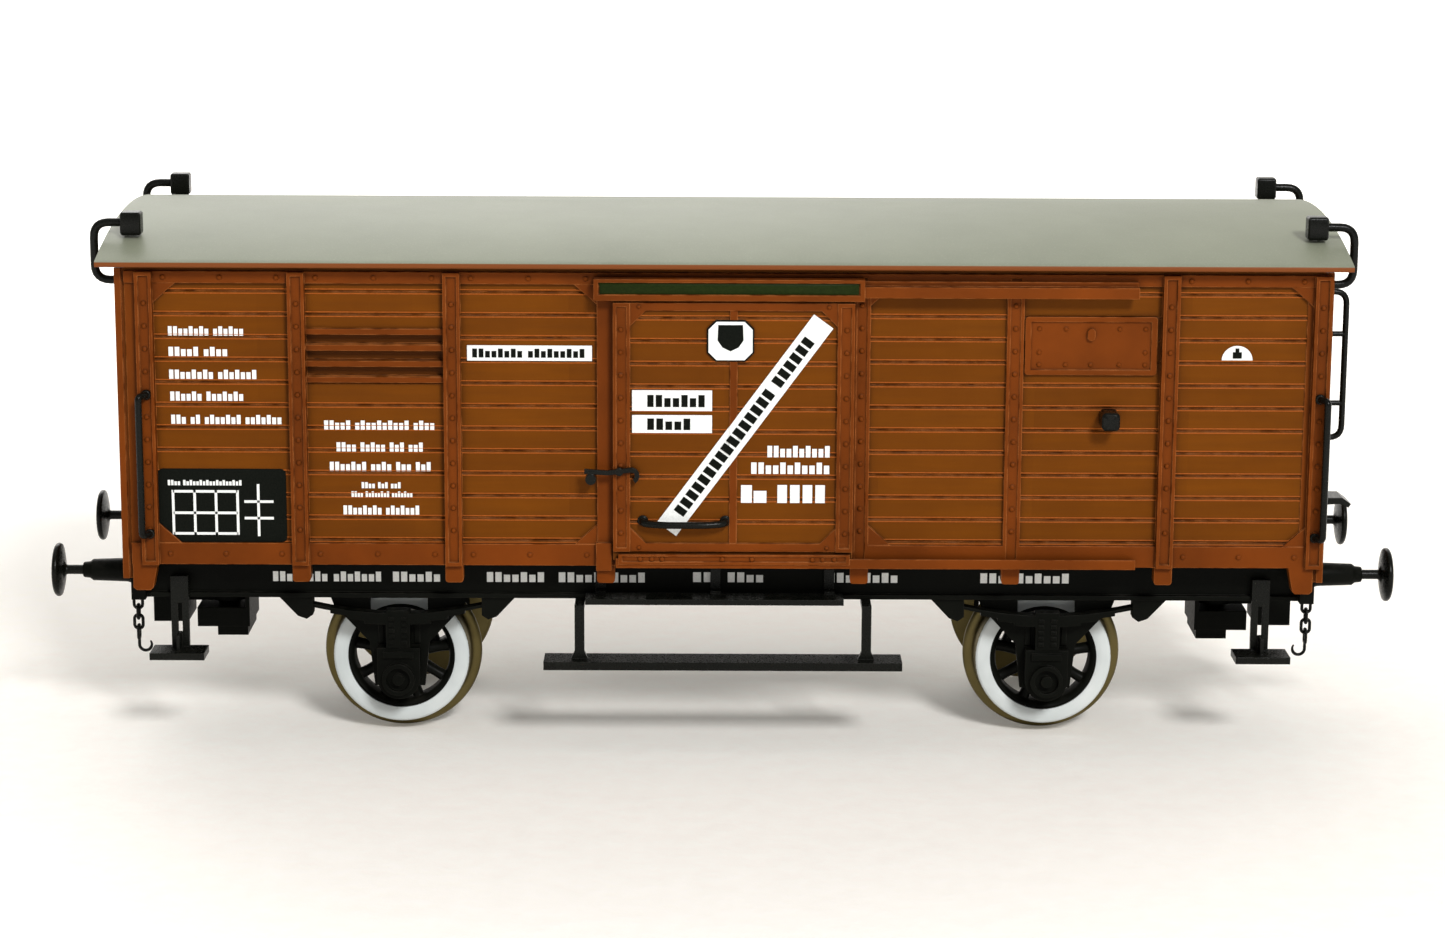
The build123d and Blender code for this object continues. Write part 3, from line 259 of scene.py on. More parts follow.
# %% Camera
EYE = np.array([-1.1343, -275.2495, 77.1312])
TURN, TILT, ROLL = 0.0040, 0.2056, 0.0048
camera_data = bpy.data.cameras.new("camera")
camera_data.lens, camera_data.sensor_width = 84.7134, 36.0
camera_data.clip_start, camera_data.clip_end = 0.01, 20.0
camera = bpy.data.objects.new("camera", camera_data)
level = np.array([np.cos(TURN), -np.sin(TURN), 0])
look = np.array([np.sin(TURN) * np.cos(TILT), np.cos(TURN) * np.cos(TILT), -np.sin(TILT)])
rise = np.array([np.sin(TURN) * np.sin(TILT), np.cos(TURN) * np.sin(TILT), np.cos(TILT)])
right = np.cos(ROLL) * level + np.sin(ROLL) * rise
upward = -np.sin(ROLL) * level + np.cos(ROLL) * rise
turn_matrix = np.eye(4)
turn_matrix[:3] = np.stack([right, upward, -look, EYE * MM], axis=1)
camera.matrix_world = Matrix(turn_matrix.tolist())
bpy.context.scene.collection.objects.link(camera)
bpy.context.scene.camera = camera
print("camera looks along", look.round(3))

# %% [markdown]
# ## Floor and light
# The wagon stands on pale paper that curves up behind it, so there is no horizon line. The key light is
# small and stands in front and to the right, so planks and rivets throw short shadows. A broad weak light hangs
# above, another reaches the far side, and a white world fills the shadows.

# %% Floor, lights and world


def aimed_light(name, place, target, size, power, colour=(1, 1, 1)):
    lamp = bpy.data.lights.new(name, "AREA")
    lamp.shape, lamp.size, lamp.size_y, lamp.energy, lamp.color = "RECTANGLE", size[0], size[1], power, colour
    holder = bpy.data.objects.new(name, lamp)
    holder.location = Vector(place)
    holder.rotation_euler = (Vector(target) - Vector(place)).to_track_quat("-Z", "Y").to_euler()
    bpy.context.scene.collection.objects.link(holder)
    return holder


aimed_light("key_light", (0.30, -0.78, 0.58), (0, 0, 0.02), (0.2, 0.18), 7.9)
aimed_light("top_light", (-0.12, 0.05, 0.9), (0, 0, 0.02), (0.7, 0.6), 0.8)
aimed_light("far_light", (-0.2, 0.8, 0.5), (0, 0, 0.02), (0.6, 0.5), 2.6)

world = bpy.data.worlds.new("studio")
bpy.context.scene.world = world
world.use_nodes = True
world.node_tree.nodes["Background"].inputs["Color"].default_value = (1.0, 0.995, 0.985, 1)
world.node_tree.nodes["Background"].inputs["Strength"].default_value = 0.4
bpy.context.scene.view_settings.view_transform = "Standard"
bpy.context.scene.view_settings.look = "None"

# %% [markdown]
# ## Shader helpers
# A material is a small network of nodes. `add` puts in one node, sets its options, and either links or fills each
# input, which keeps a network readable as a list.

# %% Node helper


def add(tree, kind, inputs=None, **options):
    made = tree.nodes.new("ShaderNode" + kind)
    for option, value in options.items():
        setattr(made, option, value)
    for key, value in (inputs or {}).items():
        if isinstance(value, bpy.types.NodeSocket):
            tree.links.new(value, made.inputs[key])
        else:
            made.inputs[key].default_value = value
    return made


def math(tree, operation, a, b=0.0, clamp=False):
    return add(tree, "Math", {0: a, 1: b}, operation=operation, use_clamp=clamp).outputs[0]


def ramp_value(tree, value, low, high, to_low=0.0, to_high=1.0):
    """Runs straight from to_low at low to to_high at high, and stays level outside."""
    inputs = {"Value": value, "From Min": low, "From Max": high, "To Min": to_low, "To Max": to_high}
    return add(tree, "MapRange", inputs, clamp=True).outputs["Result"]


def mix_colour(tree, factor, a, b):
    """Colour a where the factor is 0 and colour b where it is 1; sockets 0, 6 and 7 are the colour ones."""
    return add(tree, "Mix", {0: factor, 6: a, 7: b}, data_type="RGBA").outputs[2]


def link_roughness(tree, shader, value, low, high):
    """Roughness runs from low to high as a noise value goes through its middle range."""
    tree.links.new(ramp_value(tree, value, 0.3, 0.7, low, high), shader.inputs["Roughness"])


def link_bump(tree, shader, height, strength, distance, normal=None):
    """A bump on the shader's normal, on top of a softened normal where one is given."""
    inputs = {"Height": height, "Strength": strength, "Distance": distance * MM}
    if normal is not None:
        inputs["Normal"] = normal
    tree.links.new(add(tree, "Bump", inputs).outputs[0], shader.inputs["Normal"])


def new_group(name, inputs, outputs):
    """An empty shader group; inputs and outputs are (name, kind, value) rows."""
    tree = bpy.data.node_groups.new(name, "ShaderNodeTree")
    for label, kind, value in inputs:
        socket = tree.interface.new_socket(label, in_out="INPUT", socket_type=kind)
        socket.default_value = value
    for label, kind in outputs:
        tree.interface.new_socket(label, in_out="OUTPUT", socket_type=kind)
    return tree, tree.nodes.new("NodeGroupInput"), tree.nodes.new("NodeGroupOutput")


def use_group(tree, group, **values):
    made = tree.nodes.new("ShaderNodeGroup")
    made.node_tree = group
    for label, value in values.items():
        key = label.replace("_", " ")
        if isinstance(value, bpy.types.NodeSocket):
            tree.links.new(value, made.inputs[key])
        else:
            made.inputs[key].default_value = value
    return made


def new_material(name):
    material = bpy.data.materials.new(name)
    material.use_nodes = True
    tree = material.node_tree
    return material, tree, tree.nodes["Principled BSDF"]


# %% [markdown]
# ## Edge wear and painted edge highlight
# Moulded plastic has soft edges that catch the light, and brushed paint thins there. The Bevel node gives the
# normal of a rounded edge. Where it differs from the true normal we are on an edge, so the difference is a mask.
# The materials lighten their colour under the mask, partly as worn paint and partly as a painted highlight.

# %% Shader group: edge wear and painted edge highlight
edge_wear_and_highlight, start, end = new_group(
    "edge_wear_and_highlight",
    [("Radius", "NodeSocketFloat", 0.0001), ("Breakup", "NodeSocketFloat", 900.0)],
    [("Mask", "NodeSocketFloat"), ("Normal", "NodeSocketVector")],
)
soft = add(edge_wear_and_highlight, "Bevel", {"Radius": start.outputs["Radius"]}, samples=6)
true_normal = add(edge_wear_and_highlight, "NewGeometry").outputs["Normal"]
agreement = add(edge_wear_and_highlight, "VectorMath", {0: soft.outputs[0], 1: true_normal}, operation="DOT_PRODUCT")
edge = ramp_value(edge_wear_and_highlight, agreement.outputs["Value"], 0.995, 0.80)
place_in_group = add(edge_wear_and_highlight, "TexCoord").outputs["Object"]
patch_inputs = {"Vector": place_in_group, "Scale": start.outputs["Breakup"], "Detail": 3.0}
patches = add(edge_wear_and_highlight, "TexNoise", patch_inputs)
broken = ramp_value(edge_wear_and_highlight, patches.outputs["Fac"], 0.35, 0.6)
edge_wear_and_highlight.links.new(math(edge_wear_and_highlight, "MULTIPLY", edge, broken), end.inputs["Mask"])
edge_wear_and_highlight.links.new(soft.outputs[0], end.inputs["Normal"])

# %% [markdown]
# ## Moulded grain
# Nothing on a hand-finished model is one flat tone. This group gives slow drifts in tone, a fine grain for bump,
# and streaks drawn out along the wagon, the way the mould maker cut the wood.

# %% Shader group: moulded grain
moulded_grain, start, end = new_group(
    "moulded_grain",
    [("Scale", "NodeSocketFloat", 300.0), ("Stretch", "NodeSocketFloat", 0.08)],
    [("Drift", "NodeSocketFloat"), ("Streaks", "NodeSocketFloat"), ("Grain", "NodeSocketFloat")],
)
spot = add(moulded_grain, "TexCoord").outputs["Object"]
stretch = add(moulded_grain, "CombineXYZ", {"X": start.outputs["Stretch"], "Y": 1.0, "Z": 1.0}).outputs[0]
drawn = add(moulded_grain, "VectorMath", {0: spot, 1: stretch}, operation="MULTIPLY").outputs[0]
slow = add(moulded_grain, "TexNoise", {"Vector": spot, "Scale": 90.0, "Detail": 4.0, "Roughness": 0.6})
long_streaks = math(moulded_grain, "MULTIPLY", start.outputs["Scale"], 5.0)
streak_inputs = {"Vector": drawn, "Scale": long_streaks, "Detail": 3.0, "Roughness": 0.55}
streak = add(moulded_grain, "TexNoise", streak_inputs)
fine_scale = math(moulded_grain, "MULTIPLY", start.outputs["Scale"], 22.0)
fine = add(moulded_grain, "TexNoise", {"Vector": spot, "Scale": fine_scale, "Detail": 2.0, "Roughness": 0.7})
for label, source in (("Drift", slow), ("Streaks", streak), ("Grain", fine)):
    moulded_grain.links.new(source.outputs["Fac"], end.inputs[label])

# %% [markdown]
# ## Dust
# Handling leaves pale dust on faces that look up. The mask is the upward part of the normal, broken up by noise.

# %% Shader group: dust
dust, start, end = new_group("dust", [("Amount", "NodeSocketFloat", 0.3)], [("Mask", "NodeSocketFloat")])
up_part = add(dust, "SeparateXYZ", {0: add(dust, "NewGeometry").outputs["Normal"]}).outputs["Z"]
facing = ramp_value(dust, up_part, 0.2, 0.95)
where = add(dust, "TexCoord").outputs["Object"]
specks = add(dust, "TexNoise", {"Vector": where, "Scale": 1400.0, "Detail": 4.0})
scatter = ramp_value(dust, specks.outputs["Fac"], 0.42, 0.72)
settled = math(dust, "MULTIPLY", facing, scatter)
dust_mask = math(dust, "MULTIPLY", settled, start.outputs["Amount"], clamp=True)
dust.links.new(dust_mask, end.inputs["Mask"])
print("shader groups:", [g.name for g in bpy.data.node_groups])

# %% [markdown]
# ## Oxide brown paint
# The boards are a satin olive-brown, and everything that stands proud of them, posts, rails and rivets, is a shade
# redder. One number drives this: how far the surface stands out from the plank face. Below zero is a plank joint,
# which is redder too. Painted shade darkens the corners where two faces meet, found by ambient occlusion, and the
# moulded edges are lightened, partly as a painted highlight and partly as worn paint. The same recipe serves the
# walls and the doors, with the plank face in another place.

# %% Paint for boards and framing


def board_paint(name, face_y, face_x):
    material, tree, shader = new_material(name)
    position = add(tree, "TexCoord").outputs["Object"]
    xyz = add(tree, "SeparateXYZ", {0: position})
    out_y = math(tree, "SUBTRACT", math(tree, "ABSOLUTE", xyz.outputs["Y"]), face_y * MM)
    out_x = math(tree, "SUBTRACT", math(tree, "ABSOLUTE", xyz.outputs["X"]), face_x * MM)
    proud = math(tree, "MAXIMUM", out_y, out_x)
    grain = use_group(tree, moulded_grain, Scale=260.0)
    wear_and_highlight = use_group(tree, edge_wear_and_highlight, Radius=0.00012)
    dirt = use_group(tree, dust, Amount=0.08)

    # every board has its own tone, from noise read at the board's number
    above_first = math(tree, "SUBTRACT", xyz.outputs["Z"], PLANK_FIRST * MM)
    board = math(tree, "FLOOR", math(tree, "DIVIDE", above_first, PLANK_PITCH * MM))
    bay = math(tree, "FLOOR", math(tree, "DIVIDE", xyz.outputs["X"], BAY_PITCH * MM))
    number = add(tree, "CombineXYZ", {"X": board, "Y": bay, "Z": 0.0}).outputs[0]
    own_tone = add(tree, "TexWhiteNoise", {"Vector": number}, noise_dimensions="3D").outputs["Value"]

    dark_board, light_board = (0.112, 0.030, 0.0010, 1), (0.160, 0.045, 0.0015, 1)
    drift, own = math(tree, "MULTIPLY", grain.outputs["Drift"], 0.82), math(tree, "MULTIPLY", own_tone, 0.18)
    tone = math(tree, "ADD", drift, own)
    boards = mix_colour(tree, ramp_value(tree, tone, 0.3, 0.75), dark_board, light_board)
    streaked = ramp_value(tree, grain.outputs["Streaks"], 0.35, 0.7, 0.0, 0.35)
    boards = mix_colour(tree, streaked, boards, (0.085, 0.024, 0.0018, 1))
    dark_frame, light_frame = (0.110, 0.024, 0.0020, 1), (0.175, 0.038, 0.0032, 1)
    framing = mix_colour(tree, ramp_value(tree, grain.outputs["Drift"], 0.35, 0.7), dark_frame, light_frame)
    on_frame = ramp_value(tree, proud, 0.04 * MM, 0.14 * MM)
    colour = mix_colour(tree, on_frame, boards, framing)
    in_joint = ramp_value(tree, proud, -0.02 * MM, -0.12 * MM)
    in_slot = ramp_value(tree, proud, -0.2 * MM, -0.3 * MM)
    low_colour = mix_colour(tree, in_slot, (0.110, 0.024, 0.0020, 1), (0.105, 0.028, 0.0022, 1))
    colour = mix_colour(tree, in_joint, colour, low_colour)
    # painted shade: corners between boards, rivets and posts are darkened where ambient occlusion finds them closed
    # in
    openness = add(tree, "AmbientOcclusion", {"Distance": 0.7 * MM}, samples=6).outputs["AO"]
    painted_crevice_shade = ramp_value(tree, openness, 0.85, 0.4, 0.0, 0.65)
    colour = mix_colour(tree, painted_crevice_shade, colour, (0.022, 0.006, 0.0012, 1))
    # moulded edges lightened: a painted highlight, broken up like worn paint
    worn_and_lit_edge = math(tree, "MULTIPLY", wear_and_highlight.outputs["Mask"], 0.9)
    colour = mix_colour(tree, worn_and_lit_edge, colour, (0.42, 0.135, 0.034, 1))
    colour = mix_colour(tree, dirt.outputs["Mask"], colour, (0.36, 0.25, 0.17, 1))
    tree.links.new(colour, shader.inputs["Base Color"])

    link_roughness(tree, shader, grain.outputs["Grain"], 0.42, 0.56)
    height = math(tree, "ADD", math(tree, "MULTIPLY", grain.outputs["Grain"], 0.5), grain.outputs["Streaks"])
    link_bump(tree, shader, height, 0.35, 0.03, wear_and_highlight.outputs["Normal"])
    shader.inputs["Specular IOR Level"].default_value = 0.05
    return material


wall_paint = board_paint("oxide_wall_paint", WALL_Y, WALL_X)
door_paint = board_paint("oxide_door_paint", DOOR_FACE, 999.0)
frame_paint = board_paint("oxide_frame_paint", 0.0, 999.0)
print("paints:", wall_paint.name, door_paint.name, frame_paint.name)

# %% [markdown]
# ## Roof paint
# The roof is a pale grey with a faint green in it, sprayed so that a fine speckle shows. Its rim was painted with
# the brown of the body, so a mask from the height and the distance out picks the rim.

# %% Paint for the roof
roof_paint, tree, shader = new_material("roof_grey_paint")
xyz = add(tree, "SeparateXYZ", {0: add(tree, "TexCoord").outputs["Object"]})
grain = use_group(tree, moulded_grain, Scale=330.0, Stretch=1.0)
dark_grey, light_grey = (0.205, 0.218, 0.158, 1), (0.24, 0.253, 0.185, 1)
grey = mix_colour(tree, ramp_value(tree, grain.outputs["Drift"], 0.3, 0.7), dark_grey, light_grey)
speckle = ramp_value(tree, grain.outputs["Grain"], 0.58, 0.72, 0.0, 0.35)
grey = mix_colour(tree, speckle, grey, (0.38, 0.395, 0.31, 1))
pits = ramp_value(tree, grain.outputs["Grain"], 0.42, 0.3, 0.0, 0.3)
grey = mix_colour(tree, pits, grey, (0.135, 0.14, 0.10, 1))
facing_up = add(tree, "SeparateXYZ", {0: add(tree, "NewGeometry").outputs["Normal"]}).outputs["Z"]
rim = ramp_value(tree, facing_up, 0.62, 0.5)
grey = mix_colour(tree, rim, grey, (0.17, 0.047, 0.010, 1))
tree.links.new(grey, shader.inputs["Base Color"])
link_roughness(tree, shader, grain.outputs["Grain"], 0.38, 0.52)
link_bump(tree, shader, grain.outputs["Grain"], 0.25, 0.03)
shader.inputs["Specular IOR Level"].default_value = 0.12

# %% [markdown]
# ## Black plastic
# The frame under the body is a satin near-black that has picked up some dust. The wire fittings are glossier, so
# the same recipe takes a roughness and a dust amount.

# %% Black plastics


def black_plastic(name, tone, roughness, dusting, worn_and_lit_edge_tone, gloss):
    material, tree, shader = new_material(name)
    grain = use_group(tree, moulded_grain, Scale=300.0, Stretch=1.0)
    wear_and_highlight = use_group(tree, edge_wear_and_highlight, Radius=0.0001)
    dirt = use_group(tree, dust, Amount=dusting)
    low = (tone * 0.7, tone * 0.8, tone * 0.55, 1)
    high = (tone * 1.4, tone * 1.55, tone * 1.1, 1)
    colour = mix_colour(tree, ramp_value(tree, grain.outputs["Drift"], 0.35, 0.7), low, high)
    # edges lightened: partly a painted highlight, partly worn paint
    worn_and_lit_edge = math(tree, "MULTIPLY", wear_and_highlight.outputs["Mask"], 0.5)
    colour = mix_colour(tree, worn_and_lit_edge, colour, (worn_and_lit_edge_tone, worn_and_lit_edge_tone * 0.95, worn_and_lit_edge_tone * 0.78, 1))
    colour = mix_colour(tree, dirt.outputs["Mask"], colour, (0.30, 0.27, 0.22, 1))
    tree.links.new(colour, shader.inputs["Base Color"])
    link_roughness(tree, shader, grain.outputs["Grain"], roughness - 0.06, roughness + 0.08)
    link_bump(tree, shader, grain.outputs["Grain"], 0.3, 0.03, wear_and_highlight.outputs["Normal"])
    shader.inputs["Specular IOR Level"].default_value = gloss
    return material


chassis_black = black_plastic("chassis_black", 0.003, 0.42, 0.03, 0.03, 0.04)
fitting_black = black_plastic("fitting_black", 0.003, 0.27, 0.02, 0.03, 0.12)
wheel_black = black_plastic("wheel_black", 0.003, 0.38, 0.03, 0.03, 0.06)
print("black plastics:", chassis_black.name, fitting_black.name, wheel_black.name)

# %% [markdown]
# ## Metals
# Tyres, axles, screws, cups and springs are turned or drawn, so they show fine rings. A wave that depends only on
# the distance from the axle would need each axle's centre, so the metals take plain, unstretched noise for tone,
# roughness and bump instead.

# %% Metals


def bare_metal(name, low, high, roughness):
    material, tree, shader = new_material(name)
    grain = use_group(tree, moulded_grain, Scale=240.0, Stretch=1.0)
    wear_and_highlight = use_group(tree, edge_wear_and_highlight, Radius=0.00008)
    colour = mix_colour(tree, ramp_value(tree, grain.outputs["Drift"], 0.3, 0.7), low, high)
    bright = tuple(min(1.0, channel * 1.5) for channel in high[:3]) + (1,)
    colour = mix_colour(tree, math(tree, "MULTIPLY", wear_and_highlight.outputs["Mask"], 0.5), colour, bright)
    tree.links.new(colour, shader.inputs["Base Color"])
    link_roughness(tree, shader, grain.outputs["Grain"], roughness - 0.08, roughness + 0.1)
    link_bump(tree, shader, grain.outputs["Grain"], 0.2, 0.02)
    shader.inputs["Metallic"].default_value = 1.0
    return material


axle_steel = bare_metal("axle_steel", (0.30, 0.27, 0.24, 1), (0.42, 0.39, 0.35, 1), 0.36)
spring_steel = bare_metal("spring_steel", (0.45, 0.45, 0.46, 1), (0.6, 0.6, 0.6, 1), 0.3)
plate_steel = bare_metal("plate_steel", (0.32, 0.32, 0.33, 1), (0.42, 0.42, 0.43, 1), 0.45)
screw_steel = bare_metal("screw_steel", (0.42, 0.42, 0.43, 1), (0.55, 0.55, 0.55, 1), 0.32)
bearing_brass = bare_metal("bearing_brass", (0.55, 0.38, 0.13, 1), (0.72, 0.54, 0.24, 1), 0.3)

# %% [markdown]
# The tyre is one turned ring, but its outer face is painted white and its tread is bare. A mask on the distance
# from the wagon's middle line splits the two, with a slightly uneven edge, as a brush leaves it.

# %% Tyre steel with a white face
tyre_finish, tree, shader = new_material("tyre_steel_white_face")
xyz = add(tree, "SeparateXYZ", {0: add(tree, "TexCoord").outputs["Object"]})
grain = use_group(tree, moulded_grain, Scale=240.0, Stretch=1.0)
drift = grain.outputs["Drift"]
bare = mix_colour(tree, ramp_value(tree, drift, 0.3, 0.7), (0.085, 0.065, 0.022, 1), (0.15, 0.12, 0.05, 1))
white = mix_colour(tree, ramp_value(tree, drift, 0.35, 0.7), (0.46, 0.50, 0.50, 1), (0.66, 0.69, 0.68, 1))
wobble = math(tree, "MULTIPLY", math(tree, "SUBTRACT", grain.outputs["Grain"], 0.5), 0.12 * MM)
outness = math(tree, "ADD", math(tree, "ABSOLUTE", xyz.outputs["Y"]), wobble)
on_face = ramp_value(tree, outness, 9.82 * MM, 9.86 * MM)
tree.links.new(mix_colour(tree, on_face, bare, white), shader.inputs["Base Color"])
tree.links.new(math(tree, "SUBTRACT", 1.0, on_face), shader.inputs["Metallic"])
tree.links.new(ramp_value(tree, on_face, 0.0, 1.0, 0.4, 0.3), shader.inputs["Roughness"])
link_bump(tree, shader, grain.outputs["Grain"], 0.3, 0.03)

# %% [markdown]
# ## Printed and plain colours
# Markings are pad-printed white and black, and the strip over the door is dark green. They share one recipe: two
# close tones, a fine grain, and a given roughness.

# %% Printed colours


def printed(name, low, high, roughness):
    material, tree, shader = new_material(name)
    grain = use_group(tree, moulded_grain, Scale=380.0, Stretch=1.0)
    colour = mix_colour(tree, ramp_value(tree, grain.outputs["Grain"], 0.3, 0.7), low, high)
    tree.links.new(colour, shader.inputs["Base Color"])
    link_roughness(tree, shader, grain.outputs["Drift"], roughness - 0.05, roughness + 0.08)
    link_bump(tree, shader, grain.outputs["Grain"], 0.15, 0.02)
    shader.inputs["Specular IOR Level"].default_value = 0.04
    return material


print_white = printed("print_white", (0.72, 0.74, 0.72, 1), (0.86, 0.87, 0.85, 1), 0.4)
print_black = printed("print_black", (0.002, 0.003, 0.002, 1), (0.006, 0.007, 0.005, 1), 0.38)
strip_green = printed("strip_green", (0.008, 0.014, 0.0025, 1), (0.015, 0.024, 0.004, 1), 0.35)
# beads: a lighter brown as a painted highlight along the plank lips, with some worn paint
bead_highlight_paint = printed("bead_brown_painted_highlight", (0.26, 0.060, 0.008, 1), (0.40, 0.105, 0.017, 1), 0.42)
floor_plastic = printed("floor_board_brown", (0.05, 0.026, 0.012, 1), (0.09, 0.05, 0.024, 1), 0.55)

# %% [markdown]
# ## Paper floor
# A wide sheet, flat under the wagon and curving up far behind it. Its height is zero up to a line, then a quarter
# circle, then a wall. A faint bump gives the paper's tooth. Away from the wagon the sheet glows a little, as a lit
# backdrop does, so it stays white where the lamps no longer reach. Close to the wagon it glows only faintly. This
# is painted light, and it lightens the shadow under the wagon.

# %% Floor
floor_paper, tree, shader = new_material("floor_paper")
spot = add(tree, "TexCoord").outputs["Object"]
tooth = add(tree, "TexNoise", {"Vector": spot, "Scale": 420.0, "Detail": 5.0, "Roughness": 0.65})
dark_paper, light_paper = (0.86, 0.825, 0.775, 1), (0.91, 0.88, 0.83, 1)
shade = mix_colour(tree, ramp_value(tree, tooth.outputs["Fac"], 0.3, 0.7), dark_paper, light_paper)
tree.links.new(shade, shader.inputs["Base Color"])
shader.inputs["Roughness"].default_value = 0.9
link_bump(tree, shader, tooth.outputs["Fac"], 0.3, 0.3)
flat_spot = add(tree, "VectorMath", {0: spot, 1: (0.75, 1.0, 1.0)}, operation="MULTIPLY").outputs[0]
reach = add(tree, "VectorMath", {0: flat_spot}, operation="LENGTH").outputs["Value"]
# a faint glow stays near the wagon and lightens its shadow: painted light
glow = ramp_value(tree, reach, 0.04, 0.22)
glow_colour = mix_colour(tree, glow, (0.12, 0.115, 0.103, 1), (0.75, 0.745, 0.73, 1))
tree.links.new(glow_colour, shader.inputs["Emission Color"])
shader.inputs["Emission Strength"].default_value = 1.0

CURVE_START, CURVE_RADIUS, SHEET_TOP = 1500, 900, 2600
curl = np.linspace(0.05, np.pi / 2, 16)
curved_run = CURVE_START + CURVE_RADIUS * np.sin(curl)
run = np.concatenate([np.linspace(-2500, CURVE_START, 24), curved_run, [CURVE_START + CURVE_RADIUS]])
lift = np.concatenate([np.zeros(24), CURVE_RADIUS * (1 - np.cos(curl)), [SHEET_TOP]])
across = np.linspace(-3500, 3500, 12)
sheet_points = np.stack(np.broadcast_arrays(across[None, :], run[:, None], lift[:, None]), -1)
points, faces = surface(sheet_points)
floor_mesh = bpy.data.meshes.new("paper_floor")
floor_mesh.from_pydata((points * MM).tolist(), [], faces.tolist())
floor_mesh.shade_smooth()
floor_mesh.materials.append(floor_paper)
floor = bpy.data.objects.new("paper_floor", floor_mesh)
bpy.context.scene.collection.objects.link(floor)

# %% [markdown]
# ## Finishes for the CAD nodes that stay
# A node whose shape is right keeps its mesh and only takes a better material. The table says which finish goes on
# which node, and any node not named here is black chassis plastic.

# %% Give the CAD nodes their finishes
NODE_FINISH = {
    "body_shell": wall_paint,
    "vent_hatches": wall_paint,
    "door_near": door_paint,
    "door_far": door_paint,
    "door_track_near": frame_paint,
    "door_track_far": frame_paint,
    "ballast_plate": plate_steel,
    "floor_board": floor_plastic,
    "frame_screws": screw_steel,
    "bearing_cups": bearing_brass,
    "roof": roof_paint,
}
GLOSSY = ("door_handle", "door_latch", "door_stops", "corner_steps", "door_step", "upper_steps")
GLOSSY += ("draw_hooks", "end_step")
for name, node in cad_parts.items():
    finish = NODE_FINISH.get(name, fitting_black if name.startswith(GLOSSY) else chassis_black)
    node.data.materials.clear()
    node.data.materials.append(finish)
print("finishes given to", len(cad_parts), "nodes")

# %% [markdown]
# ## The roof
# A thin arched sheet. Across the wagon, height follows a shallow arc: crown height minus how far a circle drops.
# Top and underside are two such arcs, and the rim between them is rounded by a half circle of points.

# %% Roof
low, high = (np.array(corner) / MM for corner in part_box("roof"))
ROOF_THICK, RIM_ROUND, RISE = 0.45, 0.12, 2.4
half, end_x = high[1], high[0]
crown = high[2]
arc_radius = (half**2 + RISE**2) / (2 * RISE)
loop = np.linspace(-1, 1, 61)
top_y = loop * (half - RIM_ROUND)
top = np.stack([top_y, crown - arc_radius + np.sqrt(arc_radius**2 - top_y**2)], -1)
under = top[::-1] - [0, ROOF_THICK]
bulge = np.linspace(np.pi / 2, -np.pi / 2, 7)[1:-1]
rim_y = half - RIM_ROUND + RIM_ROUND * np.cos(bulge)
rim_z = top[-1, 1] - ROOF_THICK / 2 + ROOF_THICK / 2 * np.sin(bulge)
rim_right = np.stack([rim_y, rim_z], -1)
rim_left = rim_right[::-1] * [-1, 1]
section = np.concatenate([top, rim_right, under, rim_left])
middle = section.mean(0)
inner_xs = np.linspace(-end_x + 3, end_x - 3, 12)
xs = np.array([-end_x, -end_x, -end_x + 0.1, *inner_xs, end_x - 0.1, end_x, end_x])
thin = np.array([0, 1, 1, *np.ones(12), 1, 1, 0])
yz = middle + (section - middle)[None] * thin[:, None, None]
cap_rows = thin == 0
yz[cap_rows] = np.stack([section[:, 0], np.interp(section[:, 0], top[:, 0], top[:, 1] - ROOF_THICK / 2)], -1)
roof_points = np.concatenate([np.broadcast_to(xs[:, None, None], yz.shape[:2] + (1,)), yz], -1)
clips = [
    bar(rounded_rectangle(4, 2.5, 0.2), (x, side * 14.5 + 0.4, 38.65), (1, 0, 0), (0, 0, 1), 0.8, 0.05)
    for x in (-36, -14, 14, 36)
    for side in (NEAR, FAR)
]
roof_parts = [surface(roof_points, wrap_columns=True)] + clips
roof = piece("roof_sheet", roof_parts, "wagon", roof_paint, ["roof"])
print("roof sheet", [round(v * 1000, 1) for v in roof.dimensions])

# %% [markdown]
# ## Plank edges
# Each plank joint is a groove in the CAD. On the real model a fine bead runs along each lip of it and catches the
# light. Here the beads are painted a lighter brown than the boards, a painted highlight with some worn paint in it.
# A bead is a thin six-sided rod, half sunk in the wall, so hundreds of them cost little.

# %% Beads along the plank joints
BEAD_R, BEAD_APART = 0.045, 0.18


def beads(starts, ends, outward, face, heights):
    """Six-sided rods from each start to each end: rings of radius r about the line, then rings of no size."""
    turn = np.linspace(0, 2 * np.pi, 6, endpoint=False)
    ring = np.stack([np.cos(turn), np.sin(turn)], -1) * BEAD_R
    rows = []
    for lip in (-BEAD_APART, BEAD_APART):
        for start_at, end_at in zip(starts, ends):
            stations = np.array([start_at, start_at, end_at, end_at])
            swell = np.array([0, 1, 1, 0])
            run_along = np.broadcast_to(stations[:, None], (4, 6))
            outwards = face + ring[None, :, 0] * swell[:, None]
            upwards = lip + ring[None, :, 1] * swell[:, None]
            grid = np.stack([run_along, np.sign(outward) * outwards, upwards], -1)
            rows.append(repeated(surface(grid, wrap_columns=True), np.array([[0, 0, z] for z in heights])))
    return rows


def turn_to_end(parts):
    """The same beads on an end wall: X and Y change places."""
    return [(points[:, [1, 0, 2]], faces[:, ::-1]) for points, faces in parts]


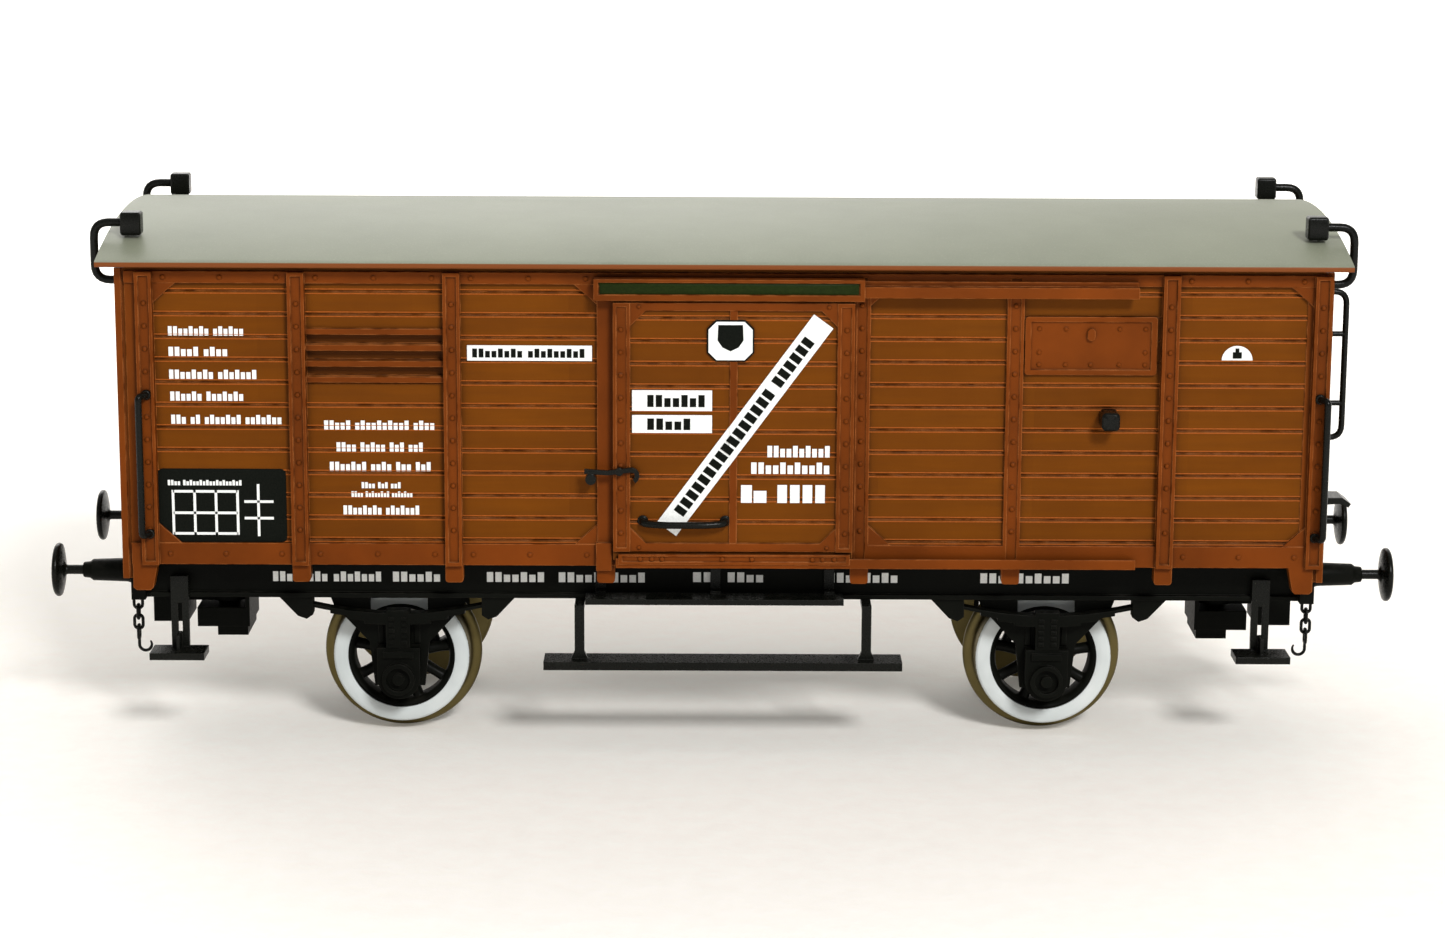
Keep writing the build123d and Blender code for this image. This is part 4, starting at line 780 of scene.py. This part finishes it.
HALF_POST = 0.65
wall_beads = []
for side in (NEAR, FAR):
    for left, right_post in zip(POSTS[:-1], POSTS[1:]):
        if left == DOOR_JAMB:
            continue
        heights = joint_heights.copy()
        if left == POSTS[1]:
            heights = heights[(heights < 29.6) | (heights > 34.4)]
        if left == POSTS[5]:
            heights = heights[(heights < 30.6) | (heights > 35.3)]
        span = sorted((along(side, left + HALF_POST), along(side, right_post - HALF_POST)))
        wall_beads += beads([span[0]], [span[1]], side, WALL_Y, heights)
for end_side in (-1, 1):
    wall_beads += turn_to_end(beads([-15.1, -4.7, 6.1], [-6.1, 4.7, 15.1], end_side, WALL_X, joint_heights))
piece("plank_beads", wall_beads, "wagon", bead_highlight_paint)

DOOR_JOINTS = joint_heights[(joint_heights > 17.5) & (joint_heights < 35.3)]
for side, label in ((NEAR, "near"), (FAR, "far")):
    starts, ends = BAY_SHIFT + np.array([-8.0, 0.3]), BAY_SHIFT + np.array([-0.3, 8.0])
    strips = beads(starts, ends, side, DOOR_FACE, DOOR_JOINTS)
    piece(f"door_beads_{label}", strips, f"{label}_door", bead_highlight_paint)
print("bead rods:", len(wall_beads))

# %% [markdown]
# ## Rivets
# Rows of small domes: one to each plank in every post but the door's jamb, and a few to each bay. Their places are
# the products of short lists of x and z, so no rivet is placed by hand.

# %% Rivets on the wagon and the doors
plank_middles = PLANK_FIRST + PLANK_PITCH * (np.arange(PLANKS) + 0.5)
TOP_RAIL_Z, BOTTOM_RAIL_Z = 38.05, 16.25
HATCH_REL, HATCH_Z = 27.6, 32.95
HATCH_RIVETS = ((1.31, (-4.0, -1.95, 2.2, 4.2)), (-0.53, (-4.0, 4.2)), (-1.49, (-4.0, -1.95, 0, 2.2, 4.2)))
SILL_FACE = 17.63
rivets = []
for side in (NEAR, FAR):
    outward = (0, side, 0)
    for post in POSTS:
        if post == DOOR_JAMB:
            continue
        web = WALL_Y + (0.35 - 0.12 if post in SHALLOW_POSTS else 0.8 - 0.2)
        rivets.append(domes(places([along(side, post)], side * web, plank_middles[:11]), outward))
    for left, right_post in zip(POSTS[:-1], POSTS[1:]):
        inside = np.array([left + 1.5, (left + right_post) / 2, right_post - 1.5])
        if right_post < 9 or left > 33:
            rail = WALL_Y + 0.35
            rivets.append(domes(places(along(side, inside), side * rail, [TOP_RAIL_Z]), outward))
            rivets.append(domes(places(along(side, inside), side * rail, [BOTTOM_RAIL_Z]), outward))
    grouped = np.array([-7.2, -6.3, -5.5, -0.8, 1.5, 6.2, 7.0, 7.9])
    rivets.append(domes(places(along(side, grouped), side * SILL_FACE, [16.23]), outward))
    for rise, shifts in HATCH_RIVETS:
        row = places(along(side, HATCH_REL + np.array(shifts)), side * (WALL_Y + 0.14), [HATCH_Z + rise])
        rivets.append(domes(row, outward, radius=0.2, height=0.13))
for end_side in (-1, 1):
    posts = places([end_side * (WALL_X + 0.5)], 0.0, plank_middles)
    posts = np.concatenate([posts + [0, y, 0] for y in (-5.4, 5.4)])
    rivets.append(domes(posts, (end_side, 0, 0), radius=0.2, height=0.13))
    sill_y = (-14, -10.5, -7.2, -3, 0, 3, 7.2, 10.5, 14)
    sill = np.array([[end_side * (WALL_X + 0.4), y, z] for y in sill_y for z in (16.2, 38.15)])
    rivets.append(domes(sill, (end_side, 0, 0)))
piece("wagon_rivets", rivets, "wagon", frame_paint)

for side, label in ((NEAR, "near"), (FAR, "far")):
    outward = (0, side, 0)
    stiles = domes(places(BAY_SHIFT + np.array([-8.7, 8.7]), side * 17.41, plank_middles[:10]), outward)
    corner_y = side * (DOOR_FACE + 0.22)
    rails = domes(places(BAY_SHIFT + np.array([-7.3, 7.3]), corner_y, [17.1, 36.05]), outward, radius=0.18)
    piece(f"door_rivets_{label}", [stiles, rails], f"{label}_door", frame_paint)
print("rivet heads:", sum(len(part[0]) for part in rivets) // 48)

# %% [markdown]
# ## Wheels
# A wheel is a steel tyre on a spoked centre. The tyre's profile, flange and coned tread, is spun about the axle.
# The centre is a rim, a hub and nine spokes. A spoke is a tube with an oval section that narrows outwards.

# %% Wheels and axles
SPOKES = 9
RIM = [(7.6, 3.85), (7.6, 4.3), (9.65, 4.3), (9.65, 4.14), (9.45, 3.9), (9.2, 3.8), (8.0, 3.8)]
HUB = [(7.55, 1.0), (7.55, 1.5), (7.7, 1.7), (9.5, 1.66), (9.75, 1.45), (9.9, 1.15), (9.9, 1.0)]


def closed_tube(centre_line, rings):
    """A tube whose two ends run in to the first and last points of its centre line."""
    caps = [np.broadcast_to(centre_line[row, None, None], (1, *rings.shape[1:])) for row in (0, -1)]
    return surface(np.concatenate([caps[0], rings, caps[1]]), wrap_columns=True)


def spoked_centre(x, side):
    """One wheel's rim and hub, turned, and its spokes, which are tubes with oval rings."""
    origin, axis = (x, 0, AXLE_Z), (0, side, 0)
    rim = turned(RIM, origin, axis, 96, closed=True)
    hub = turned(HUB, origin, axis, 48, closed=True)
    reach = np.linspace(1.25, 4.0, 7)
    half_width = np.interp(reach, [1.25, 1.9, 3.3, 4.0], [0.62, 0.5, 0.42, 0.5])
    half_depth = np.interp(reach, [1.25, 1.9, 3.3, 4.0], [0.78, 0.62, 0.5, 0.6])
    turn = np.linspace(0, 2 * np.pi, 14, endpoint=False)
    spokes = []
    for spoke in np.arange(SPOKES) * 2 * np.pi / SPOKES + 0.15:
        out = np.array([np.cos(spoke), 0, np.sin(spoke)])
        over = np.array([-np.sin(spoke), 0, np.cos(spoke)])
        centre = np.array([x, side * 8.62, AXLE_Z]) + reach[:, None] * out
        oval = np.cos(turn)[None, :, None] * half_width[:, None, None] * over
        oval = oval + np.sin(turn)[None, :, None] * half_depth[:, None, None] * np.array([0, 1.0, 0])
        spokes.append(closed_tube(centre, centre[:, None, :] + oval))
    return [rim, hub] + spokes


flange = np.linspace(0, np.pi, 9)
flange_curve = np.stack([7.615 - 0.365 * np.cos(flange), 5.95 + 0.4 * np.sin(flange)], -1)
TYRE = np.concatenate([
    [(7.25, 4.3)],
    flange_curve,
    [(8.03, 5.76), (8.14, 5.63), (8.35, 5.56), (9.76, 5.48)],
    [(9.84, 5.45), (9.97, 5.33), (10.0, 5.28), (10.0, 4.35), (9.97, 4.3)],
])
AXLE = [(-12.1, 0), (-12.1, 0.06), (-11.3, 0.75), (-10.25, 0.75), (-10.2, 0.8), (-10.2, 0.95), (-10.15, 1.0)]
AXLE = AXLE + [(-a, r) for a, r in AXLE[::-1]]
for label, x in AXLE_X.items():
    body = f"wheelset_{label}"
    tyre_rings = [turned(TYRE, (x, 0, AXLE_Z), (0, side, 0), 128, closed=True) for side in (NEAR, FAR)]
    piece(f"wheel_tyres_{label}", tyre_rings, body, tyre_finish, [f"tyres_{label}"])
    centres = spoked_centre(x, NEAR) + spoked_centre(x, FAR)
    centre_node = f"wheel_centres_{label}"
    piece(f"spoked_centres_{label}", centres, body, wheel_black, [centre_node])
    shaft = [turned(AXLE, (x, 0, AXLE_Z), (0, 1, 0), 40)]
    piece(f"turned_axle_{label}", shaft, body, axle_steel, [f"axle_{label}"])
print("wheelsets at x =", {k: round(v, 2) for k, v in AXLE_X.items()})

# %% [markdown]
# ## Buffers
# The head and its plunger are one turned part that slides in a turned sleeve, with a coil spring behind. The head
# is a shallow mushroom.

# %% Buffers and their springs
buffer_y, buffer_z = 875 / 87, 13.4
head_end = 9300 / 87 / 2
SLEEVE = [
    (47.0, 0), (47.0, 1.1), (47.2, 1.08), (47.7, 0.95), (50.4, 0.86), (50.46, 0.82), (50.66, 0.67),
    (51.1, 0.62), (51.18, 0.58), (51.2, 0.54), (51.2, 0.42), (50.4, 0.42), (50.4, 0.56), (47.5, 0.56), (47.5, 0),
]
BASE, BASE_THICK = rounded_rectangle(2.9, 2.7, 0.25), 0.35
TURNS, WIRE_R, COIL_R, PRESS = 5.0, 0.08, 0.41, 0.9
sleeve_parts = []
for label, (end_side, side) in CORNERS.items():
    origin, axis = (0, side * buffer_y, buffer_z), (end_side, 0, 0)
    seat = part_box(f"buffer_spring_{label}")
    spring_ends = sorted(abs(seat[i][0]) / MM for i in (0, 1))
    back = head_end - 0.7
    curve = np.linspace(0, 1, 9)
    dish = np.stack([back - 0.35 + 0.35 * curve**0.6, 0.38 + 0.47 * curve**2.2], -1)
    under_head = np.stack([back + 0.2 * curve**1.5, 0.85 + 1.1 * curve], -1)[1:]
    edge_turn = np.linspace(-np.pi / 2, np.pi / 2, 7)[1:-1]
    edge_curve = np.stack([back + 0.42 + 0.22 * np.sin(edge_turn), 1.98 + 0.17 * np.cos(edge_turn)], -1)
    seat_x = spring_ends[1]
    profile = np.concatenate([
        [(seat_x, 0), (seat_x, 0.51), (seat_x + 0.02, 0.53), (seat_x + 0.5, 0.53), (seat_x + 0.6, 0.38)],
        dish, under_head, edge_curve, [(head_end - 0.02, 1.95), (head_end, 1.85), (head_end, 0)],
    ])
    head = [turned(profile, origin, axis, 56)]
    body, replaced = f"buffer_{label}", [f"buffer_head_{label}"]
    piece(f"buffer_plunger_{label}", head, body, fitting_black, replaced)
    sleeve_parts.append(turned(SLEEVE, origin, axis, 48))
    foot = (end_side * HEADSTOCK_X, side * buffer_y, buffer_z)
    sleeve_parts.append(bar(BASE, foot, (0, end_side, 0), (0, 0, 1), BASE_THICK, 0.06))
    bolts = foot + np.array([[end_side * BASE_THICK, dy, dz] for dy in (-1.15, 1.15) for dz in (-1.05, 1.05)])
    sleeve_parts.append(domes(bolts, (end_side, 0, 0), radius=0.17, height=0.14))

    t = np.linspace(0, 1, 121)
    length = spring_ends[1] - spring_ends[0]
    angle = 2 * np.pi * TURNS * t
    run_x = spring_ends[0] + WIRE_R + (length - 2 * WIRE_R) * np.clip((t - 0.08) / 0.84, 0, 1)
    radial = np.stack([0 * t, np.cos(angle), np.sin(angle)], -1)
    coil_y, coil_z = side * buffer_y + COIL_R * np.cos(angle), buffer_z + COIL_R * np.sin(angle)
    centre_line = np.stack([end_side * run_x, coil_y, coil_z], -1)
    tangent = np.gradient(centre_line, axis=0)
    tangent /= np.linalg.norm(tangent, axis=1, keepdims=True)
    other = np.cross(tangent, radial)
    around = np.linspace(0, 2 * np.pi, 8, endpoint=False)
    rings = radial[:, None] * np.cos(around)[None, :, None] + other[:, None] * np.sin(around)[None, :, None]
    coil_tube = [closed_tube(centre_line, centre_line[:, None] + WIRE_R * rings)]
    replaced = [f"buffer_spring_{label}"]
    coil = piece(f"buffer_coil_{label}", coil_tube, "wagon", spring_steel, replaced)
    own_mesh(coil)
piece("buffer_barrels", sleeve_parts, "wagon", chassis_black, ["buffer_sleeves"])
print("buffer springs are", round(length, 2), "mm long")

# %% [markdown]
# ## Safety chains
# Round wire bent into long rings. A ring's centre line is a circle stretched by a straight piece on each side:
# across is w cos t, and up is w sin t plus or minus half the stretch. Each ring hangs in the one above, turned a
# quarter. The hook at the end is a ring, a short stem and a curve that opens towards the wagon.

# %% Chains, eyes and hooks
CHAIN_X, CHAIN_Y, EYE_TOP = 47.45, 7.0, 11.6
LINK_WIRE, LINK, LINK_WIDE, LINK_GAP, HOOK_R = 0.26, 1.42, 0.95, 0.05, 0.5


def ring_link(x, y, top, turned_ring):
    """The stretched circle, in the plane of X and Z, or of Y and Z where the ring is turned."""
    t = np.linspace(0, 2 * np.pi, 36, endpoint=False)
    wide, stretch = (LINK_WIDE - LINK_WIRE) / 2, (LINK - LINK_WIDE) / 2
    flat = wide * np.cos(t)
    up = top - LINK / 2 + wide * np.sin(t) + stretch * np.sign(np.sin(t).round(6))
    if turned_ring:
        path = np.stack([np.full_like(t, x), y + flat, up], -1)
        normal = (1, 0, 0)
    else:
        path = np.stack([x + flat, np.full_like(t, y), up], -1)
        normal = (0, 1, 0)
    return wire(path, LINK_WIRE / 2, normal, around=10, closed=True)


def next_top(top):
    return top - LINK + 2 * LINK_WIRE + LINK_GAP


eye_parts = []
for label, (end_side, side) in CORNERS.items():
    x, y = end_side * CHAIN_X, side * CHAIN_Y
    eye_parts.append(ring_link(x, y, EYE_TOP, True))
    lug = rounded_rectangle(0.7, 1.25, 0.15)
    lug_foot = (end_side * HEADSTOCK_X, y, EYE_TOP + 0.475)
    eye_parts.append(bar(lug, lug_foot, (0, end_side, 0), (0, 0, 1), 0.88, 0.06))
    top, links = EYE_TOP, []
    for turned_ring in (False, True, False):
        top = next_top(top)
        links.append(ring_link(x, y, top, turned_ring))
    top = next_top(top)
    links.append(ring_link(x, y, top, True))
    stem_low = top - LINK - 0.35
    sweep = np.radians(np.linspace(180, 395, 24))
    bill_x = x - end_side * HOOK_R * (1 + np.cos(sweep))
    bill = np.stack([bill_x, np.full(24, y), stem_low + HOOK_R * np.sin(sweep)], -1)
    hook_path = np.concatenate([[[x, y, top - LINK + LINK_WIRE]], [[x, y, stem_low + 0.3]], bill])
    narrowing = np.concatenate([np.ones(18), np.linspace(1, 0.55, 8)])
    links.append(wire(hook_path, LINK_WIRE / 2, (0, 1, 0), around=10, taper=narrowing))
    body, replaced = f"chain_{label}", [f"safety_chain_{label}"]
    piece(f"chain_links_{label}", links, body, fitting_black, replaced)
piece("chain_lugs", eye_parts, "wagon", fitting_black, ["chain_eyes"])

# %% [markdown]
# ## Wire fittings
# The grab handles, lamp brackets, handrail and door handles are bent from round wire. Each one's path is a few
# corners with the bends rounded, and each bend lies in one plane, so the wire's section never twists.

# %% Handles, lamp brackets and the handrail


def washer(start, depths, radii, origin, axis, around=24):
    """The round foot of a rod, spun from three radii: at the start, and at two depths beyond it."""
    edge, end = start + depths[0], start + depths[1]
    profile = [(start, 0), (start, radii[0]), (edge, radii[1]), (end, radii[2]), (end, 0)]
    return turned(profile, origin, axis, around)


handle_parts = []
HANDLE_Z, HANDLE_FOOT = (17.9, 28.9), ((0.15, 0.25), (0.4, 0.4, 0.34))
for side in (NEAR, FAR):
    for rel in (POSTS[0], POSTS[-1]):
        x = along(side, rel)
        run = x + 0.45 * np.sign(x)
        low, high = HANDLE_Z
        corners = [(x, side * 16.7, low), (x, side * 17.05, low), (run, side * 17.75, low)]
        corners += [(run, side * 17.75, high), (x, side * 17.05, high), (x, side * 16.7, high)]
        handle_parts.append(wire(rounded_path(corners, 0.35), 0.27, (1, 0, 0)))
        handle_parts += [washer(16.7, *HANDLE_FOOT, (x, 0, z), (0, side, 0)) for z in HANDLE_Z]
piece("grab_handles", handle_parts, "wagon", fitting_black, ["corner_handles"])

LAMP_OUT, LAMP_FOOT, LAMP_TOP = 49.05, 37.25, 41.75
LAMP_WASHER = (0.15, 0.3), (0.6, 0.62, 0.4)
lamp_parts = []
for end_side, side in CORNERS.values():
    y = side * 12.6
    corners = [(WALL_X, LAMP_FOOT), (LAMP_OUT, LAMP_FOOT), (LAMP_OUT, LAMP_TOP), (46.5, LAMP_TOP)]
    path = rounded_path([(end_side * out, y, z) for out, z in corners], 1.2)
    lamp_parts.append(wire(path, 0.33, (0, 1, 0), around=16))
    lamp_parts.append(washer(WALL_X, *LAMP_WASHER, (0, y, LAMP_FOOT), (end_side, 0, 0)))
    socket_box = rounded_rectangle(1.5, 1.8, 0.2)
    lamp_parts.append(bar(socket_box, (end_side * 45.3, y, 41.7), (0, end_side, 0), (0, 0, 1), 1.6, 0.12))
piece("lamp_irons", lamp_parts, "wagon", fitting_black, ["lamp_brackets"])

RAIL_OUT, RAIL_Y, RAIL_Z, STAY_Z = 49.5, -8.0, (24.2, 36.0), (27.0, 32.6)
corners = [(WALL_X, RAIL_Z[0]), (RAIL_OUT, RAIL_Z[0]), (RAIL_OUT, RAIL_Z[1]), (WALL_X, RAIL_Z[1])]
rail_path = rounded_path([(out, RAIL_Y, z) for out, z in corners], 1.0)
STAY = [(WALL_X, 0), (WALL_X, 0.22), (RAIL_OUT - 0.1, 0.22), (RAIL_OUT - 0.1, 0)]
rail_parts = [wire(rail_path, 0.25, (0, 1, 0))]
rail_parts += [turned(STAY, (0, RAIL_Y, z), (1, 0, 0), 16) for z in STAY_Z]
RAIL_FOOT = (0.12, 0.2), (0.45, 0.45, 0.3)
rail_parts += [washer(WALL_X, *RAIL_FOOT, (0, RAIL_Y, z), (1, 0, 0), 20) for z in sorted(RAIL_Z + STAY_Z)]
piece("upright_handrail", rail_parts, "wagon", fitting_black, ["end_handrail"])

stop_parts = []
for side in (NEAR, FAR):
    stop_foot = (along(side, 29.1), side * WALL_Y, 27.3)
    block = rounded_rectangle(1.4, 1.4, 0.35, 6)
    stop_parts.append(bar(block, stop_foot, (-side, 0, 0), (0, 0, 1), 2.1, 0.15))
piece("stop_blocks", stop_parts, "wagon", fitting_black, ["door_stops"])

for side, label in ((NEAR, "near"), (FAR, "far")):
    left, right_x = along(side, -7.0), along(side, -0.6)
    quarter = (right_x - left) / 4
    rows = [(left, 0, 19.2), (left, 0.75, 19.1), (left + quarter, 1.05, 19.05)]
    rows += [(right_x - quarter, 1.05, 19.05), (right_x, 0.75, 19.1), (right_x, 0, 19.2)]
    path = rounded_path([(x, side * (DOOR_FACE + out), z) for x, out, z in rows], 0.7)
    GRIP_FOOT = (0.1, 0.14), (0.42, 0.42, 0.34)
    parts = [wire(path, 0.27, (0, 0, 1))]
    parts += [washer(DOOR_FACE, *GRIP_FOOT, (x, 0, 19.2), (0, side, 0)) for x in (left, right_x)]
    replaced = [f"door_handle_{label}"]
    piece(f"door_grip_{label}", parts, f"{label}_door", fitting_black, replaced)

# %% [markdown]
# ## Green strip
# A dark green slip lies in the shallow tray on the hood over each doorway.

# %% Strip over the doorway
for side, label in ((NEAR, "near"), (FAR, "far")):
    slip = rounded_rectangle(19.9, 0.85, 0.08)
    strip = bar(slip, (along(side, -0.37), side * 17.55, 37.475), (-side, 0, 0), (0, 0, 1), 0.1, 0.03)
    piece(f"hood_strip_{label}", [strip], "wagon", strip_green)

# %% [markdown]
# ## Printed markings
# Rows of small writing, a panel with a grid, plates, a diagonal strip and a badge are printed on each side. Writing
# is drawn as plain blocks, one for each character, and the badge has a plain shield. A block is a thin slab with
# its back sunk in the wall, so it has real edges and works from any side. `slabs` builds all the blocks of a row
# at once, and `writing` finds where each block of a row goes.

# %% Slabs and rows of blocks
BOX_CORNERS = np.array([[i, j, k] for i in (0, 1) for j in (0, 1) for k in (0, 1)], float)
BOX_FACES = np.array([[0, 1, 3, 2], [4, 6, 7, 5], [0, 4, 5, 1], [2, 3, 7, 6], [0, 2, 6, 4], [1, 5, 7, 3]])
PRINT_BACK, BLOCK_FILL = 0.06, 0.74


def slabs(side, face, proud, boxes, origin=(0, 0), turn=0.0):
    """Boxes given as (left, low, width, height), turned about a point, as seen from that side. Each runs from
    behind the face to a little proud of it: corner = low corner + unit corner * size."""
    boxes = np.array(boxes, float)
    flat = boxes[:, None, :2] + BOX_CORNERS[None, :, :2] * boxes[:, None, 2:]
    across = origin[0] + flat[..., 0] * np.cos(turn) - flat[..., 1] * np.sin(turn)
    height = origin[1] + flat[..., 0] * np.sin(turn) + flat[..., 1] * np.cos(turn)
    out = face - PRINT_BACK + (PRINT_BACK + proud) * np.broadcast_to(BOX_CORNERS[None, :, 2], across.shape)
    points = np.stack([along(side, across), side * out, height], -1).reshape(-1, 3)
    faces = (BOX_FACES[None] + 8 * np.arange(len(boxes))[:, None, None]).reshape(-1, 4)
    return points, faces


def writing(left, low, length, height, words):
    """One block for each character: the row is cut into equal steps, and a gap between words is two thirds of
    one. Two characters in five are full height and the rest are lower, in a fixed order."""
    steps = sum(words) + (len(words) - 1) * 2 / 3
    starts = np.concatenate([np.arange(count) + sum(words[:n]) + n * 2 / 3 for n, count in enumerate(words)])
    number = np.arange(len(starts))
    tall = np.where((number * 7 + 3) % 5 < 2, 1.0, 0.74)
    tall[0] = 1.0
    step, full = length / steps, np.ones(len(starts))
    return np.stack([left + starts * step, low * full, BLOCK_FILL * step * full, height * tall], -1)


def plate(side, face, proud, outline, centre):
    """A flat outline with the given middle, carried from behind the face to proud of it."""
    origin = (along(side, centre[0]), side * (face - PRINT_BACK), centre[1])
    return bar(outline, origin, (-side, 0, 0), (0, 0, 1), PRINT_BACK + proud, 0.02)


def octagon(width, height, cut):
    """A rectangle with its corners cut off."""
    x, z = width / 2, height / 2
    upper = [(x, z - cut), (x - cut, z), (cut - x, z), (-x, z - cut)]
    return upper + [(-across, -up) for across, up in upper]


# %% [markdown]
# ## What is printed where
# Every block is left, low, width and height in the flat picture of one side, and `along` turns that into x for the
# near and the far side alike. A door's prints belong to the door's own body, so they slide with it.

# %% Markings on the walls, the doors and the frame
WALL_ROWS = [
    (-43.66, 33.45, 5.9, 0.72, (8, 6)),
    (-43.66, 31.84, 4.65, 0.72, (5, 4)),
    (-43.66, 30.05, 6.85, 0.72, (8, 7)),
    (-43.62, 28.33, 5.75, 0.72, (6, 7)),
    (-43.6, 26.5, 8.65, 0.72, (3, 2, 7, 7)),
    (-31.75, 26.1, 8.65, 0.72, (5, 10, 4)),
    (-30.82, 24.37, 6.8, 0.72, (4, 5, 3, 3)),
    (-31.37, 22.82, 7.95, 0.72, (7, 4, 3, 3)),
    (-28.92, 21.45, 3.1, 0.48, (4, 3, 3)),
    (-29.72, 20.72, 4.8, 0.48, (4, 8, 7)),
    (-30.37, 19.35, 6.0, 0.72, (8, 7)),
]
PANEL_ROW = (-44.0, 21.64, 5.8, 0.42, (4, 18))
FRAME_ROWS = [
    (-36.4, 13.2, 8.7, 0.8, (8, 7)),
    (-26.9, 13.2, 3.9, 0.8, (6,)),
    (-19.45, 13.2, 4.7, 0.8, (7,)),
    (-13.75, 13.2, 7.0, 0.8, (10,)),
    (-3.1, 13.25, 1.7, 0.8, (2,)),
    (-0.35, 13.25, 3.0, 0.8, (4,)),
    (7.6, 13.25, 5.7, 0.8, (8,)),
    (19.7, 13.25, 7.2, 0.8, (10,)),
]
BATTEN, BATTEN_HALF = 0.14, 0.31
GRID_X, GRID_Z, LINE = (-43.62, -41.94, -40.28, -38.6), (17.8, 19.45, 21.16), 0.2
grid_lines = [(x - LINE / 2, GRID_Z[0] - LINE / 2, LINE, GRID_Z[2] - GRID_Z[0] + LINE) for x in GRID_X]
grid_lines += [(GRID_X[0], z - LINE / 2, GRID_X[3] - GRID_X[0], LINE) for z in GRID_Z]
cross_lines = [(-37.08, 17.6, LINE, 4.15), (-38.08, 20.26, 2.27, LINE), (-38.08, 18.94, 2.27, LINE)]
STRIP_START, STRIP_END, STRIP_WIDTH = np.array([-5.15, 18.54]), np.array([6.9, 34.93]), 1.85
strip_length = np.linalg.norm(STRIP_END - STRIP_START)
strip_turn = np.arctan2(*(STRIP_END - STRIP_START)[::-1])
middle_z = STRIP_START[1] - STRIP_START[0] * np.tan(strip_turn)
strip_rise = BATTEN_HALF * np.tan(strip_turn)
strip_half = STRIP_WIDTH / 2 / np.cos(strip_turn)
over_batten = np.array([
    (BATTEN_HALF, strip_rise + strip_half), (-BATTEN_HALF, strip_half - strip_rise),
    (-BATTEN_HALF, -strip_rise - strip_half), (BATTEN_HALF, strip_rise - strip_half),
])
for side, label in ((NEAR, "near"), (FAR, "far")):
    white = [slabs(side, WALL_Y, 0.03, writing(*row)) for row in WALL_ROWS]
    white.append(slabs(side, WALL_Y, 0.09, np.concatenate([writing(*PANEL_ROW), grid_lines, cross_lines])))
    white.append(slabs(side, WALL_Y, 0.06, [(-20.6, 31.58, 9.65, 1.2)]))
    half_turn = np.linspace(0, np.pi, 15)
    half_disc = np.stack([1.2 * np.cos(half_turn), 1.15 * np.sin(half_turn)], -1)
    white.append(plate(side, WALL_Y, 0.05, half_disc, (38.95, 31.83)))
    white += [slabs(side, FRAME_FACE, 0.03, writing(*row)) for row in FRAME_ROWS]
    piece(f"wall_print_white_{label}", white, "wagon", print_white, smooth=False)

    black = [plate(side, WALL_Y, 0.06, rounded_rectangle(10.0, 5.85, 0.4), (-39.8, 20.03))]
    black.append(slabs(side, WALL_Y, 0.08, writing(-20.2, 31.83, 8.8, 0.7, (8, 9))))
    black.append(slabs(side, WALL_Y, 0.07, [(38.6, 31.98, 0.7, 0.5), (38.8, 32.48, 0.3, 0.3)]))
    piece(f"wall_print_black_{label}", black, "wagon", print_black, smooth=False)

    white = [slabs(side, DOOR_FACE, 0.08, [(-7.83, 27.89, 6.18, 1.62), (-7.83, 26.16, 6.18, 1.4)])]
    strip_box = [(0, -STRIP_WIDTH / 2, strip_length, STRIP_WIDTH)]
    white.append(slabs(side, DOOR_FACE, 0.08, strip_box, STRIP_START, strip_turn))
    white.append(slabs(side, DOOR_FACE, 0.05, writing(2.65, 24.27, 4.95, 0.9, (10,))))
    white.append(slabs(side, DOOR_FACE, 0.05, writing(1.4, 22.95, 6.2, 0.9, (11,))))
    white.append(slabs(side, DOOR_FACE, 0.05, [(0.62, 20.65, 0.85, 1.4), (1.6, 20.65, 1.0, 0.95)]))
    white.append(slabs(side, DOOR_FACE, 0.05, [(3.45 + 0.98 * n, 20.65, 0.74, 1.42) for n in range(4)]))
    white.append(plate(side, DOOR_FACE, BATTEN + 0.03, over_batten, (0, middle_z)))
    white.append(plate(side, DOOR_FACE, BATTEN + 0.06, octagon(3.4, 3.0, 0.62), (-0.25, 33.4)))
    piece(f"door_print_white_{label}", white, f"{label}_door", print_white, smooth=False)

    black = [plate(side, DOOR_FACE, BATTEN + 0.03, octagon(3.64, 3.24, 0.68), (-0.25, 33.4))]
    shield = [(0.95, 1.0), (-0.95, 1.0), (-1.0, -0.2), (-0.62, -0.75), (0, -1.05), (0.62, -0.75), (1.0, -0.2)]
    black.append(plate(side, DOOR_FACE, BATTEN + 0.09, shield, (-0.25, 33.65)))
    black.append(slabs(side, DOOR_FACE, 0.1, writing(-6.65, 28.2, 4.6, 0.95, (7,))))
    black.append(slabs(side, DOOR_FACE, 0.1, writing(-6.65, 26.4, 3.5, 0.9, (5,))))
    strip_rows = writing(1.56, -0.47, 17.2, 0.94, (16, 6))
    strip_rows[:, 3] = 0.94
    step_out = np.abs(STRIP_START[0] + (strip_rows[:, 0] + 0.3) * np.cos(strip_turn)) < 0.75
    black.append(slabs(side, DOOR_FACE, 0.1, strip_rows[~step_out], STRIP_START, strip_turn))
    black.append(slabs(side, DOOR_FACE, BATTEN + 0.05, strip_rows[step_out], STRIP_START, strip_turn))
    piece(f"door_print_black_{label}", black, f"{label}_door", print_black, smooth=False)
print("diagonal strip:", round(strip_length, 1), "mm long, at", round(np.degrees(strip_turn)), "degrees")
